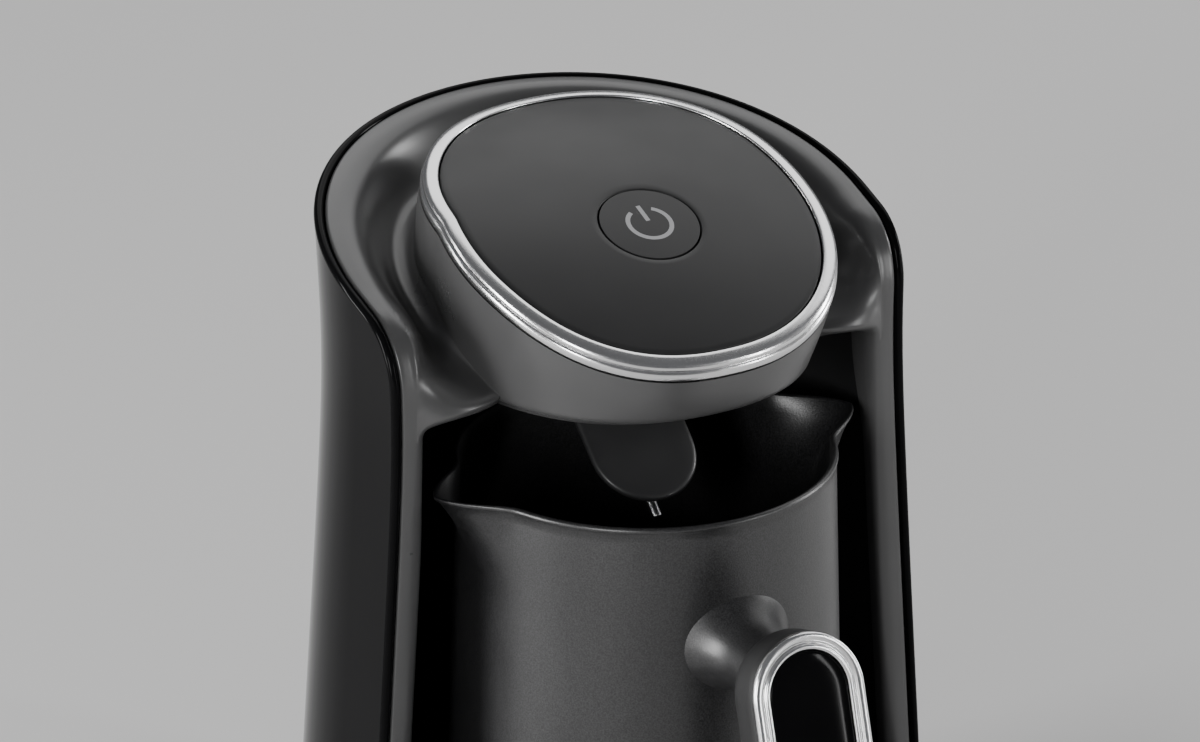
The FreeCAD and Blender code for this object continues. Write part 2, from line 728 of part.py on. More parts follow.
def rubber_feet():
    """Four round feet with softened edges."""
    feet = []
    for x, y in foot_spots():
        foot = disc(FOOT_R, 0, PLATE_BOTTOM_Z + FOOT_SINK, x, y)
        feet.append(foot.makeChamfer(FOOT_EDGE, [foot.Edges[2]]))
    return Part.makeCompound(feet)


def base_screws():
    """Screws of the base plate."""
    return screws(base_screw_spots(), PLATE_BOTTOM_Z, SCREW_L)


def heater_plate():
    """Disc that the pot stands on."""
    plate = disc(HEATER_R, HEATER_LOW_Z, HEATER_TOP_Z)
    return plate.makeChamfer(HEATER_EDGE, [plate.Edges[0]])


def heating_element():
    """Flat coil housing under the plate, with two terminals."""
    low = HEATER_LOW_Z - ELEMENT_H
    ring = tube(ELEMENT_R + ELEMENT_W / 2, ELEMENT_R - ELEMENT_W / 2, low, HEATER_LOW_Z)
    tabs = [block(x - ELEMENT_TAB_W / 2, x + ELEMENT_TAB_W / 2, ELEMENT_R - TAB_T / 2,
                  ELEMENT_R + TAB_T / 2, low - ELEMENT_TAB_L, low + 1)
            for x in (-ELEMENT_TAB_X, ELEMENT_TAB_X)]
    return join([ring] + tabs)


def thermostat():
    """Bimetal cut-out pressed against the plate's centre."""
    low = HEATER_LOW_Z - THERMOSTAT_H
    body = disc(THERMOSTAT_R, low, HEATER_LOW_Z)
    tabs = [block(x - SWITCH_TAB_W / 2, x + SWITCH_TAB_W / 2, -SWITCH_TAB_T / 2, SWITCH_TAB_T / 2,
                  low - SWITCH_TAB_L, low + 1)
            for x in (-SWITCH_TAB_X, SWITCH_TAB_X)]
    return join([body] + tabs)


def heater_bracket():
    """Ring on legs that carries the heater above the base plate."""
    top = tube(BRACKET_R + BRACKET_W / 2 - 1, BRACKET_R - BRACKET_W / 2 + 1,
               HEATER_LOW_Z - BRACKET_T, HEATER_LOW_Z)
    legs = []
    for i in range(LEG_COUNT):
        angle = 2 * math.pi * i / LEG_COUNT + math.pi / 2
        legs.append(disc(LEG_R, HOUSING_LOW_Z, HEATER_LOW_Z - BRACKET_T + 0.5,
                         BRACKET_R * math.cos(angle), BRACKET_R * math.sin(angle)))
    return join([top] + legs)


def standoff_spots():
    """Places of the main board's standoffs."""
    low, high = MAIN_BOARD_Z
    return [(x * (MAIN_BOARD_HALF - STANDOFF_INSET), z)
            for z in (low + STANDOFF_INSET, high - STANDOFF_INSET) for x in (-1, 1)]


def board_standoffs():
    """Pegs from the bay's back wall to the main board."""
    wall = tower(BAY_INSET - LINER_WALL, 0, TOWER_TOP_Z, centre_y=0.0)
    pegs = [Part.makeCylinder(STANDOFF_R, MAIN_BOARD_Y - 30, V(x, 30, z), V(0, 1, 0))
            for x, z in standoff_spots()]
    return Part.makeCompound([peg.cut(wall) for peg in pegs])


def main_board():
    """Upright power board in the column behind the bay."""
    low, high = MAIN_BOARD_Z
    return block(-MAIN_BOARD_HALF, MAIN_BOARD_HALF, MAIN_BOARD_Y, MAIN_BOARD_Y + BOARD_T, low, high)


def power_components():
    """Relay, transformer, capacitors and terminal block on the main board."""
    low = MAIN_BOARD_Y + BOARD_T
    mid = (MAIN_BOARD_Z[0] + MAIN_BOARD_Z[1]) / 2
    boxes = [block(x0, x1, low, low + COMPONENT_H, mid + z0, mid + z1)
             for x0, x1, z0, z1 in (RELAY, TRANSFORMER, TERMINALS)]
    cans = [Part.makeCylinder(CAPACITOR_R, COMPONENT_H, V(x, low, mid + CAPACITOR_Z), V(0, 1, 0))
            for x in CAPACITOR_X]
    return Part.makeCompound(boxes + cans)


def cord_gland():
    """Bushing in the back wall where the mains lead would enter."""
    back_y = TOWER_CENTRE_Y + half_width(GLAND_Z)
    body = Part.makeCylinder(GLAND_R, GLAND_L, V(0, back_y - GLAND_L + GLAND_FLANGE_T, GLAND_Z),
                             V(0, 1, 0))
    flange_y = TOWER_CENTRE_Y + half_width(GLAND_Z - GLAND_FLANGE_R) + JOIN_GAP / 2
    flange = Part.makeCylinder(GLAND_FLANGE_R, GLAND_FLANGE_T, V(0, flange_y, GLAND_Z), V(0, 1, 0))
    bore = Part.makeCylinder(GLAND_BORE, 3 * GLAND_L, V(0, back_y - 2 * GLAND_L, GLAND_Z), V(0, 1, 0))
    return body.fuse(flange).cut(bore).removeSplitter()


def wire_loom():
    """Bundle that climbs the column from the base to the head."""
    return disc(LOOM_R, HOUSING_LOW_Z, BAY_TOP_Z + LOOM_RISE, LOOM_X, LOOM_Y)


def pot_profile(offset, low, rim):
    """Solid of revolution of the pot, smaller by offset."""
    base_r = POT_BASE_R - offset
    rim_r = POT_RIM_R - offset
    foot = POT_FOOT - offset / 2
    points = [V(0, 0, low), V(base_r - foot, 0, low)]
    corner = Part.Arc(points[1], V(base_r - 0.3 * foot, 0, low + 0.3 * foot),
                      V(base_r, 0, low + foot)).toShape()
    wire = Part.Wire([
        Part.makeLine(points[0], points[1]),
        corner,
        Part.makeLine(V(base_r, 0, low + foot), V(rim_r, 0, rim)),
        Part.makeLine(V(rim_r, 0, rim), V(0, 0, rim)),
        Part.makeLine(V(0, 0, rim), points[0]),
    ])
    return Part.Face(wire).revolve(V(0, 0, 0), V(0, 0, 1), 360)


def spout_section(z, reach, half, root, tip):
    """Pointed pouring-lip section with a round tip."""
    wire = [
        Part.makeLine(V(root, half, z), V(root, -half, z)),
        Part.makeLine(V(root, -half, z), V(reach - tip, -tip, z)),
        Part.Arc(V(reach - tip, -tip, z), V(reach, 0, z), V(reach - tip, tip, z)).toShape(),
        Part.makeLine(V(reach - tip, tip, z), V(root, half, z)),
    ]
    return Part.Wire(wire)


def spout(offset, rim):
    """Pouring lip that swells out of the wall towards the rim."""
    root = POT_RIM_R - SPOUT_HALF
    low = POT_RIM_Z - SPOUT_DEPTH + 2 * offset
    tip = SPOUT_TIP_R - offset / 2
    wires = [
        spout_section(low, POT_RIM_R - offset - 0.5, SPOUT_HALF - 8 - offset, root, tip),
        spout_section(POT_RIM_Z - 0.45 * SPOUT_DEPTH, POT_RIM_R + 3.6 - offset,
                      SPOUT_HALF - 3 - offset, root, tip),
        spout_section(rim, SPOUT_REACH - offset, SPOUT_HALF - offset, root, tip),
    ]
    return Part.makeLoft(wires, True)


def both_sides(shape):
    """A shape and its mirror image across the middle plane."""
    return [shape, shape.mirror(V(0, 0, 0), V(1, 0, 0))]


def pot_body():
    """Thin-walled pot with two pouring lips."""
    outside = join([pot_profile(0, POT_LOW_Z, POT_RIM_Z)] + both_sides(spout(0, POT_RIM_Z)))
    inside = join([pot_profile(POT_WALL, POT_LOW_Z + 2 * POT_WALL, POT_RIM_Z + 1)]
                  + both_sides(spout(POT_WALL, POT_RIM_Z + 1)))
    return outside.cut(inside)


def handle_place(shape):
    """Put a shape from the handle's frame, with its origin at the top of the grip's face."""
    placed = shape.copy()
    placed.rotate(V(0, 0, 0), V(1, 0, 0), 90 - HANDLE_LEAN)
    placed.translate(V(0, HANDLE_TOP_Y, HANDLE_TOP_Z))
    return placed


def stadium(width, length, top, low, high):
    """Flat bar with fully round ends, in the handle's frame."""
    radius = width / 2
    upper = disc(radius, low, high, 0, top - radius)
    lower = disc(radius, low, high, 0, top - length + radius)
    middle = block(-radius, radius, top - length + radius, top - radius, low, high)
    return join([upper, lower, middle])


def oval(y, half_x, half_z):
    """Upright elliptical section across the neck."""
    curve = Part.Ellipse(V(half_x, y, NECK_Z), V(0, y, NECK_Z + half_z), V(0, y, NECK_Z))
    return Part.Wire([curve.toShape()])


def grip_block(depth):
    """The grip's outer volume without the trim's seat."""
    return handle_place(stadium(HANDLE_W, HANDLE_L, 0, -depth, -TRIM_T + TRIM_PROUD))


def handle_neck():
    """Flared neck from the pot's wall to the grip."""
    grip_y = HANDLE_TOP_Y - (HANDLE_TOP_Z - NECK_Z) * math.tan(math.radians(HANDLE_LEAN))
    end_y = grip_y + HANDLE_T - NECK_SEAT
    wires = [
        oval(-POT_RIM_R + 3, NECK_ROOT[0] + 1, NECK_ROOT[1] + 1),
        oval(-POT_RIM_R - 3, NECK_ROOT[0] - 2, NECK_ROOT[1] - 1),
        oval(NECK_MID_Y, *NECK_MID),
        oval(end_y, *NECK_END),
    ]
    neck = Part.makeLoft(wires, True)
    neck = neck.cut(pot_profile(0, POT_LOW_Z, POT_RIM_Z)).cut(grip_block(HANDLE_T))
    return neck.cut(screw_path(SCREW_GAP))


def handle_grip():
    """Grip that hangs from the neck and leans outwards."""
    grip = stadium(HANDLE_W, HANDLE_L, 0, -HANDLE_T, -TRIM_T + TRIM_PROUD)
    rear = [e for e in grip.Edges if e.BoundBox.ZMax < -HANDLE_T + 0.01]
    grip = handle_place(grip.makeFillet(GRIP_EDGE, rear))
    return grip.cut(screw_path(SCREW_GAP))


def screw_path(gap):
    """Head and shank of the screw that joins the grip to the neck."""
    grip_y = HANDLE_TOP_Y - (HANDLE_TOP_Z - NECK_Z) * math.tan(math.radians(HANDLE_LEAN))
    head_y = grip_y + HANDLE_T * 0.45
    head = Part.makeCylinder(2 * HANDLE_SCREW_R + gap, 2.5, V(0, head_y, NECK_Z), V(0, 1, 0))
    shank = Part.makeCylinder(HANDLE_SCREW_R + gap, HANDLE_SCREW_L + 4 * gap, V(0, head_y, NECK_Z),
                              V(0, 1, 0))
    if gap:
        access = Part.makeCylinder(2 * HANDLE_SCREW_R + gap, HANDLE_T, V(0, head_y - HANDLE_T, NECK_Z),
                                   V(0, 1, 0))
        return join([head, shank, access])
    return join([head, shank])


def handle_screw():
    """Screw hidden behind the grip's insert."""
    return screw_path(0.0)


def handle_trim():
    """Polished racetrack frame on the grip's face."""
    low = -TRIM_T + TRIM_PROUD
    ring = stadium(HANDLE_W, HANDLE_L, 0, low, TRIM_PROUD)
    hole = stadium(HANDLE_W - 2 * TRIM_W, HANDLE_L - 2 * TRIM_W, -TRIM_W, low - 1, 5)
    groove = stadium(HANDLE_W - 0.9 * TRIM_W, HANDLE_L - 0.9 * TRIM_W, -0.45 * TRIM_W, -0.4, 5)
    groove = groove.cut(stadium(HANDLE_W - 1.4 * TRIM_W, HANDLE_L - 1.4 * TRIM_W, -0.7 * TRIM_W, -1, 6))
    return handle_place(ring.cut(hole).cut(groove))


def handle_insert():
    """Glossy panel inside the trim."""
    width = HANDLE_W - 2 * TRIM_W - 2 * SCREW_GAP
    length = HANDLE_L - 2 * TRIM_W - 2 * SCREW_GAP
    panel = stadium(width, length, -TRIM_W - SCREW_GAP, -TRIM_T + TRIM_PROUD, TRIM_PROUD - INSERT_SINK)
    return handle_place(panel)


PARTS = {
    "outer_shell": outer_shell,
    "front_shell": front_shell,
    "bay_liner": bay_liner,
    "head_underside_cover": head_underside_cover,
    "head_screws": head_screws,
    "top_plate": top_plate,
    "chrome_ring": chrome_ring,
    "power_button": power_button,
    "power_symbol": power_symbol,
    "button_guide": button_guide,
    "button_spring": button_spring,
    "tact_switch": tact_switch,
    "control_board": control_board,
    "board_posts": board_posts,
    "indicator_light": indicator_light,
    "buzzer": buzzer,
    "sensor_flap": flap_solid,
    "sensor_probe": probe_solid,
    "sensor_holder": probe_holder,
    "base_housing": base_housing,
    "base_plate": base_plate,
    "rubber_feet": rubber_feet,
    "base_screws": base_screws,
    "heater_plate": heater_plate,
    "heating_element": heating_element,
    "thermostat": thermostat,
    "heater_bracket": heater_bracket,
    "main_board": main_board,
    "board_standoffs": board_standoffs,
    "power_components": power_components,
    "cord_gland": cord_gland,
    "wire_loom": wire_loom,
    "pot_body": pot_body,
    "handle_neck": handle_neck,
    "handle_grip": handle_grip,
    "handle_trim": handle_trim,
    "handle_insert": handle_insert,
    "handle_screw": handle_screw,
}


def main():
    """Build every piece, centre the whole over the origin and write it out."""
    os.makedirs("parts", exist_ok=True)
    shapes = {name: make() for name, make in PARTS.items()}
    box = Part.makeCompound(list(shapes.values())).optimalBoundingBox(False)
    shift = V(-(box.XMin + box.XMax) / 2, -(box.YMin + box.YMax) / 2, -box.ZMin)
    print("size", round(box.XLength, 2), round(box.YLength, 2), round(box.ZLength, 2),
          "shift", [round(value, 3) for value in shift])
    for name, shape in shapes.items():
        shape.translate(shift)
        state = "ok" if shape.isValid() else "INVALID"
        print(f"{name:22s} solids {len(shape.Solids)} volume {shape.Volume / 1000:8.2f} cm3 {state}")
        shape.exportStep(f"parts/{name}.step")


main()
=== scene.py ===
"""Looks of the electric coffee maker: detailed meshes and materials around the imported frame."""
import bmesh
import bpy
import math
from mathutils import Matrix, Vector


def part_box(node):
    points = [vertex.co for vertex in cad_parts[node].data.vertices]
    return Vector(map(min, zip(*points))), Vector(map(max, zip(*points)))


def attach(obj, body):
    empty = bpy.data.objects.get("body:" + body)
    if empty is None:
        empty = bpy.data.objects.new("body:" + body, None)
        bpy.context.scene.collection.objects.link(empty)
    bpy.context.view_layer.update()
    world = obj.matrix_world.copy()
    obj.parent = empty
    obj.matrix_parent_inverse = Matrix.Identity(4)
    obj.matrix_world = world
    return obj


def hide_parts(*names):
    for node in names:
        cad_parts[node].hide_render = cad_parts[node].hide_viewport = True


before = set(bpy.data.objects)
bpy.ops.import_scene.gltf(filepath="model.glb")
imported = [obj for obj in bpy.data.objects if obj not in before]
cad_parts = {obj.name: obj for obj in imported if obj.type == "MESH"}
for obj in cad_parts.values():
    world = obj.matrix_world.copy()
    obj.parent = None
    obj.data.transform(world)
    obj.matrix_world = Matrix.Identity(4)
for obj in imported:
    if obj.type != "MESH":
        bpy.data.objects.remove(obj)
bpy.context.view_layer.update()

# Millimetre sizes that the pieces share with the construction; MM turns them into metres
MM = 0.001
WAIST_HALF = 68.6
WAIST_Z = 170.0
FLARE = 0.065
FLARE_BLEND = 20.0
TOWER_CENTRE_Y = 16.0
ARM_FRONT_Y = -3.5
RIM_Z = 192.7
RIM_SLOPE = 0.31
RIM_SAG = 0.0009
RIM_CORNER = 12.0
RIM_DROP = 17.0
OUTER_WALL = 2.4
JOIN_GAP = 0.3
SHELL_INSET = OUTER_WALL + JOIN_GAP
BAY_TOP_Z = 171.0
SETTLE_ROUNDS = 6
BASE_TOP_Z = 50.0
BASE_FRONT = 61.0
BASE_EDGE = 2.6
HOUSING_LOW_Z = 4.2
HEATER_R = 41.0
HEATER_GAP = 0.4

# Head, in its own tilted frame about the button
HEAD_Y = -2.0
HEAD_Z = 208.0
HEAD_TILT = math.radians(20.2)
DOME_LENGTH_R = 159.0
DOME_WIDTH_R = 333.0
PLATE_HALF = 42.0
PLATE_BACK = 50.7
PLATE_FRONT = 45.8
PLATE_SHIFT = 6.0
PLATE_POWER = 2.25
PLATE_T = 2.5
RING_WIDTH = 4.0
RING_LOW = -3.95
SHOULDER_Y = 31.0
WAIST_Y = 5.0
SHOULDER_REACH = 15.0
SHOULDER_LEFT = 0.8
SHOULDER_RIGHT = 0.15
BUTTON_R = 11.9
BUTTON_GAP = 0.35

# Front shell: strip beside the wrap, valleys beside the head and the opening's rolled edge
STRIP_W = 3.6
CORNER_STEPS = 14
CORNER_REACH = 2
VALLEY_STEPS = 22
VALLEY_FRONT_ANGLE = math.radians(-22.2)
VALLEY_FRONT_Z = 173.4
VALLEY_BACK_Z = 198.0
VALLEY_SAG = 0.8
VALLEY_BACK_Y = 62.0
FOOT_ROUND = 3.2
LIP_DROP = 3.2
LIP_DEPTH = 5.0
LIP_FADE = 30.0
BEVEL_W = 2.9
BEVEL_DEPTH = 2.0
CORNER_RISE = 7.5
CORNER_RUN = 15.0
VALLEY_DIP = 2.0
FOOT_STEPS = 5
HEAD_EDGE = 2.4

# Pot and handle
POT_RIM_R = 45.5
POT_BASE_R = 47.2
POT_LOW_Z = 54.3
POT_RIM_Z = 149.5
POT_WALL = 1.5
POT_CORNER = 5.0
POT_BEAD_R = 0.85
POT_FLOOR = 3.2
POT_COLUMNS = 216
SPOUT_REACH = 56.8
SPOUT_DEPTH = 26.0
SPOUT_SPREAD = math.radians(23)
HANDLE_W = 29.0
HANDLE_L = 76.0
HANDLE_T = 13.0
HANDLE_TOP_Y = -73.4
HANDLE_TOP_Z = 132.0
HANDLE_LEAN = math.radians(17)
TRIM_W = 4.3
TRIM_PROUD = 0.5
TRIM_SEAT = -1.5
GRIP_ROUND = 4.6
NECK_Z = 118.0

# Sensor flap
FLAP_WIDTH = 27.0
FLAP_T = 2.0
FLAP_TIP = (-9.2, 140.4)
FLAP_ANGLE = math.radians(41.35)
FLAP_EDGE = 0.7
FLAP_BOW = 0.5

# The frame's origin is the middle of the whole, so the pot's axis is read from the heater
heater_low, heater_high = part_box("heater_plate")
POT_AXIS_Y = (heater_low[1] + heater_high[1]) / 2 / MM


def place(x, y, z):
    """Metres in the frame from millimetres about the pot's axis."""
    return Vector((x * MM, (y + POT_AXIS_Y) * MM, z * MM))


def mix(a, b, t):
    """Value between a and b."""
    return a + (b - a) * t


def smooth(t):
    """Soft step from 0 to 1."""
    t = min(max(t, 0.0), 1.0)
    return t * t * (3 - 2 * t)


def new_object(name, points, faces, body, material, node=None, slot=None):
    """Mesh object from points in millimetres about the pot's axis, riding on a body."""
    mesh = bpy.data.meshes.new(name)
    mesh.from_pydata([place(*p) for p in points], [], faces)
    mesh.validate()
    obj = bpy.data.objects.new(name, mesh)
    bpy.context.scene.collection.objects.link(obj)
    mesh.materials.append(material)
    merge(mesh)
    for polygon in mesh.polygons:
        polygon.use_smooth = True
    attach(obj, body)
    if node:
        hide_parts(*([node] if isinstance(node, str) else node))
    return obj


def merge(mesh):
    """Weld doubled points and turn all faces outwards."""
    bm = bmesh.new()
    bm.from_mesh(mesh)
    bmesh.ops.remove_doubles(bm, verts=bm.verts, dist=0.00001)
    bmesh.ops.dissolve_degenerate(bm, edges=bm.edges, dist=0.000002)
    bmesh.ops.recalc_face_normals(bm, faces=bm.faces)
    bm.to_mesh(mesh)
    bm.free()


def grid_faces(rows, columns, start=0, wrap_rows=False, wrap_columns=False):
    """Quads over a grid stored row by row."""
    faces = []
    for i in range(rows if wrap_rows else rows - 1):
        for j in range(columns if wrap_columns else columns - 1):
            a, b = i, (i + 1) % rows
            c, d = j, (j + 1) % columns
            faces.append((start + a * columns + c, start + a * columns + d,
                          start + b * columns + d, start + b * columns + c))
    return faces


def loft(name, rows, body, material, wrap_rows=False, wrap_columns=False, caps=False, **kw):
    """Surface through rows of points; caps closes the first and last rows."""
    width = len(rows[0])
    points = [p for row in rows for p in row]
    faces = grid_faces(len(rows), width, 0, wrap_rows, wrap_columns)
    if caps:
        faces.append(tuple(range(width)))
        faces.append(tuple(range((len(rows) - 1) * width, len(rows) * width)))
    return new_object(name, points, faces, body, material, **kw)


# Materials

def shader(name, color, roughness, metallic=0.0, coat=0.0, coat_roughness=0.1, specular=0.5):
    """Principled material with its constants on the shader's own sockets."""
    material = bpy.data.materials.new(name)
    material.use_nodes = True
    node = material.node_tree.nodes["Principled BSDF"]
    node.inputs["Base Color"].default_value = (*color, 1.0)
    node.inputs["Roughness"].default_value = roughness
    node.inputs["Metallic"].default_value = metallic
    node.inputs["Coat Weight"].default_value = coat
    node.inputs["Coat Roughness"].default_value = coat_roughness
    node.inputs["Specular IOR Level"].default_value = specular
    return material, material.node_tree, node


def noise(tree, scale, detail=3.0, roughness=0.55, stretch=(1, 1, 1)):
    """Noise texture in object space; scale counts features per metre."""
    coordinates = tree.nodes.new("ShaderNodeTexCoord")
    mapping = tree.nodes.new("ShaderNodeMapping")
    mapping.inputs["Scale"].default_value = stretch
    texture = tree.nodes.new("ShaderNodeTexNoise")
    texture.inputs["Scale"].default_value = scale
    texture.inputs["Detail"].default_value = detail
    texture.inputs["Roughness"].default_value = roughness
    tree.links.new(coordinates.outputs["Object"], mapping.inputs["Vector"])
    tree.links.new(mapping.outputs["Vector"], texture.inputs["Vector"])
    return texture.outputs["Fac"]


def spread(tree, value, low, high, from_low=0.3, from_high=0.7):
    """Map a texture value to a range."""
    node = tree.nodes.new("ShaderNodeMapRange")
    node.inputs["From Min"].default_value = from_low
    node.inputs["From Max"].default_value = from_high
    node.inputs["To Min"].default_value = low
    node.inputs["To Max"].default_value = high
    tree.links.new(value, node.inputs["Value"])
    return node.outputs["Result"]


def tint(tree, value, dark, light):
    """Colour between two tones, driven by a texture value."""
    ramp = tree.nodes.new("ShaderNodeValToRGB")
    ramp.color_ramp.elements[0].position = 0.3
    ramp.color_ramp.elements[0].color = (*dark, 1.0)
    ramp.color_ramp.elements[1].position = 0.7
    ramp.color_ramp.elements[1].color = (*light, 1.0)
    tree.links.new(value, ramp.inputs["Fac"])
    return ramp.outputs["Color"]


def bump(tree, node, value, strength, distance):
    """Fine relief in metres."""
    relief = tree.nodes.new("ShaderNodeBump")
    relief.inputs["Strength"].default_value = strength
    relief.inputs["Distance"].default_value = distance
    tree.links.new(value, relief.inputs["Height"])
    tree.links.new(relief.outputs["Normal"], node.inputs["Normal"])


def plastic(name, color, roughness, grain, depth, vary=0.12, coat=0.0, specular=0.5, cloud=40.0):
    """Moulded plastic: faint clouding of tone and gloss over a fine grain."""
    material, tree, node = shader(name, color, roughness, coat=coat, specular=specular)
    broad = noise(tree, cloud, 4.0)
    fine = noise(tree, grain, 2.0)
    dark = tuple(c * (1 - vary) for c in color)
    light = tuple(c * (1 + vary) for c in color)
    tree.links.new(tint(tree, broad, dark, light), node.inputs["Base Color"])
    tree.links.new(spread(tree, broad, roughness * 0.9, roughness * 1.12), node.inputs["Roughness"])
    bump(tree, node, fine, 0.35, depth)
    return material


def polished_metal(name, color, roughness, streak=(1, 1, 1)):
    """Plated metal with faint polishing marks."""
    material, tree, node = shader(name, color, roughness, metallic=1.0)
    marks = noise(tree, 1500.0, 2.0, stretch=streak)
    tree.links.new(spread(tree, marks, roughness * 0.88, roughness * 1.15), node.inputs["Roughness"])
    tree.links.new(tint(tree, noise(tree, 60.0), tuple(c * 0.95 for c in color), color),
                   node.inputs["Base Color"])
    bump(tree, node, marks, 0.05, 0.000002)
    return material


def coated_metal(name):
    """Satin black non-stick coat with a fine sparkle of flakes."""
    base = (0.011, 0.011, 0.0115)
    material, tree, node = shader(name, base, 0.36, coat=0.12, coat_roughness=0.25, specular=0.7)
    flakes = noise(tree, 2600.0, 1.0)
    broad = noise(tree, 35.0, 3.0)
    tree.links.new(tint(tree, flakes, (0.004, 0.004, 0.0043), (0.026, 0.026, 0.027)),
                   node.inputs["Base Color"])
    tree.links.new(spread(tree, broad, 0.32, 0.42), node.inputs["Roughness"])
    bump(tree, node, flakes, 0.55, 0.00006)
    return material


gloss_black = plastic("gloss_black_plastic", (0.004, 0.004, 0.0043), 0.10, 700.0, 0.000004,
                      specular=0.05)
satin_grey = plastic("satin_grey_plastic", (0.066, 0.066, 0.0665), 0.30, 2400.0, 0.000012, vary=0.05,
                     specular=0.75)
matt_black = plastic("matt_black_plastic", (0.012, 0.012, 0.0125), 0.58, 1500.0, 0.00008)
plate_grey = plastic("graphite_plastic", (0.024, 0.024, 0.0245), 0.38, 900.0, 0.000006,
                     vary=0.04, specular=0.35)
chrome = polished_metal("chrome", (0.90, 0.90, 0.905), 0.22)
steel = polished_metal("plain_steel", (0.55, 0.55, 0.56), 0.3, streak=(1, 1, 6))
heater_metal = polished_metal("anodised_heater", (0.16, 0.16, 0.165), 0.38)
pale_print = plastic("pale_inlay", (0.40, 0.40, 0.41), 0.4, 1800.0, 0.00002, vary=0.04)
board_green = plastic("board_green", (0.02, 0.12, 0.045), 0.45, 800.0, 0.00003)
light_pipe = plastic("frosted_light_pipe", (0.7, 0.7, 0.72), 0.5, 900.0, 0.00002, vary=0.03)
flap_rubber = plastic("flap_silicone", (0.030, 0.030, 0.031), 0.42, 1400.0, 0.00004, coat=0.15)
foot_rubber = plastic("black_rubber", (0.012, 0.012, 0.012), 0.75, 1100.0, 0.0001)
pot_coat = coated_metal("pot_coating")


# Shared outlines

def half_width(z):
    """Half width of the tower at a height."""
    return WAIST_HALF + FLARE * (math.hypot(z - WAIST_Z, FLARE_BLEND) - FLARE_BLEND)


def rim_height(y):
    """Height of the tower's rim."""
    return RIM_Z + RIM_SLOPE * y - RIM_SAG * y * y


def wall_point(angle, y, z, inset):
    """Point on the wrap: by angle round the back, or by y along a straight side."""
    radius = half_width(z) - inset
    if angle is not None:
        return Vector((radius * math.sin(angle), TOWER_CENTRE_Y + radius * math.cos(angle), z))
    return Vector((radius, y, z))


def rim_line(lower=0.0, arc_steps=56, side_steps=8, corner_steps=CORNER_STEPS):
    """Half of the rim from the back's middle to the arm's front edge, as (angle, y, z)."""
    line = []
    for i in range(arc_steps + 1):
        angle = math.pi / 2 * i / arc_steps
        z = RIM_Z
        for _ in range(SETTLE_ROUNDS):
            z = rim_height(TOWER_CENTRE_Y + half_width(z) * math.cos(angle))
        line.append((angle, None, z - lower))
    turn_y = ARM_FRONT_Y + RIM_CORNER
    for i in range(1, side_steps + 1):
        y = mix(TOWER_CENTRE_Y, turn_y, i / side_steps)
        line.append((None, y, rim_height(y) - lower))
    top = rim_height(turn_y)
    pull = 0.6 * RIM_CORNER
    control = [(turn_y, top), (turn_y - pull, top - RIM_SLOPE * pull),
               (ARM_FRONT_Y, top - 0.5 * RIM_DROP), (ARM_FRONT_Y, top - RIM_DROP)]
    for i in range(1, corner_steps + 1):
        y, z = bezier(control, i / corner_steps)
        line.append((None, y, z - lower))
    return line


def bezier(control, t):
    """Point on a cubic curve through control tuples."""
    weights = ((1 - t) ** 3, 3 * t * (1 - t) ** 2, 3 * t * t * (1 - t), t ** 3)
    return tuple(sum(w * c[k] for w, c in zip(weights, control)) for k in range(len(control[0])))


def edge_line(bottom, down_steps=30):
    """Half of the wrap's whole free edge: the rim and then the arm's front edge down."""
    line = rim_line()
    low = line[-1][2]
    for i in range(1, down_steps + 1):
        line.append((None, ARM_FRONT_Y, mix(low, bottom, i / down_steps)))
    return line


def inward(angle):
    """Horizontal direction from the wrap's surface into the tower."""
    if angle is not None:
        return Vector((-math.sin(angle), -math.cos(angle), 0))
    return Vector((-1, 0, 0))


def edge_frames(line, inset):
    """For each edge point: its place, the inward normal and the direction past the edge."""
    places = [wall_point(a, y, z, inset) for a, y, z in line]
    frames = []
    for i, (angle, _, _) in enumerate(line):
        before = places[max(i - 1, 0)]
        after = places[min(i + 1, len(line) - 1)]
        if i == 0:
            tangent = Vector((1, 0, 0))
        else:
            tangent = (after - before).normalized()
        into = inward(angle)
        past = into.cross(tangent).normalized()
        if past.z < -0.2 or (abs(past.z) <= 0.2 and past.y > 0):
            past = -past
        frames.append((places[i], into, past))
    return frames


def mirrored(section_rows):
    """Rows for both halves: the right half mirrored to the left, then the right half."""
    left = [[(-x, y, z) for x, y, z in row] for row in reversed(section_rows[1:])]
    return left + section_rows


def build_outer_shell():
    """Gloss wrap with a fully rounded free edge."""
    bottom = HOUSING_LOW_Z + JOIN_GAP
    radius = OUTER_WALL / 2
    line = edge_line(bottom)
    frames = edge_frames(line, 0.0)
    rows = []
    turn = 10
    depth_steps = 26
    count = len(rim_line())
    for origin, into, past in frames:
        row = []
        start = origin - past * radius
        for k in range(turn + 1):
            theta = math.pi * k / turn
            p = start + into * radius * (1 - math.cos(theta)) + past * radius * math.sin(theta)
            row.append(tuple(p))
        rows.append(row)
    lip = mirrored(rows)
    points = [p for row in lip for p in row]
    faces = grid_faces(len(lip), turn + 1)
    for inset in (0.0, OUTER_WALL):
        columns = []
        for i in range(count):
            angle = line[i][0]
            origin, _, past = frames[i]
            top = origin - past * radius
            columns.append(wall_column(angle, top.y, top.z, bottom, inset, depth_steps))
        edge = []
        for origin, _, past in frames[count - 1:]:
            p = origin - past * radius
            edge.append(tuple(wall_point(None, p.y, p.z, inset)))
        columns.append(edge_resample(edge, depth_steps))
        both = mirrored(columns)
        start = len(points)
        points += [p for row in both for p in row]
        faces += grid_faces(len(both), depth_steps + 1, start)
    return new_object("outer_shell_skin", points, faces, "appliance", gloss_black,
                      node="outer_shell", slot="gloss_black")


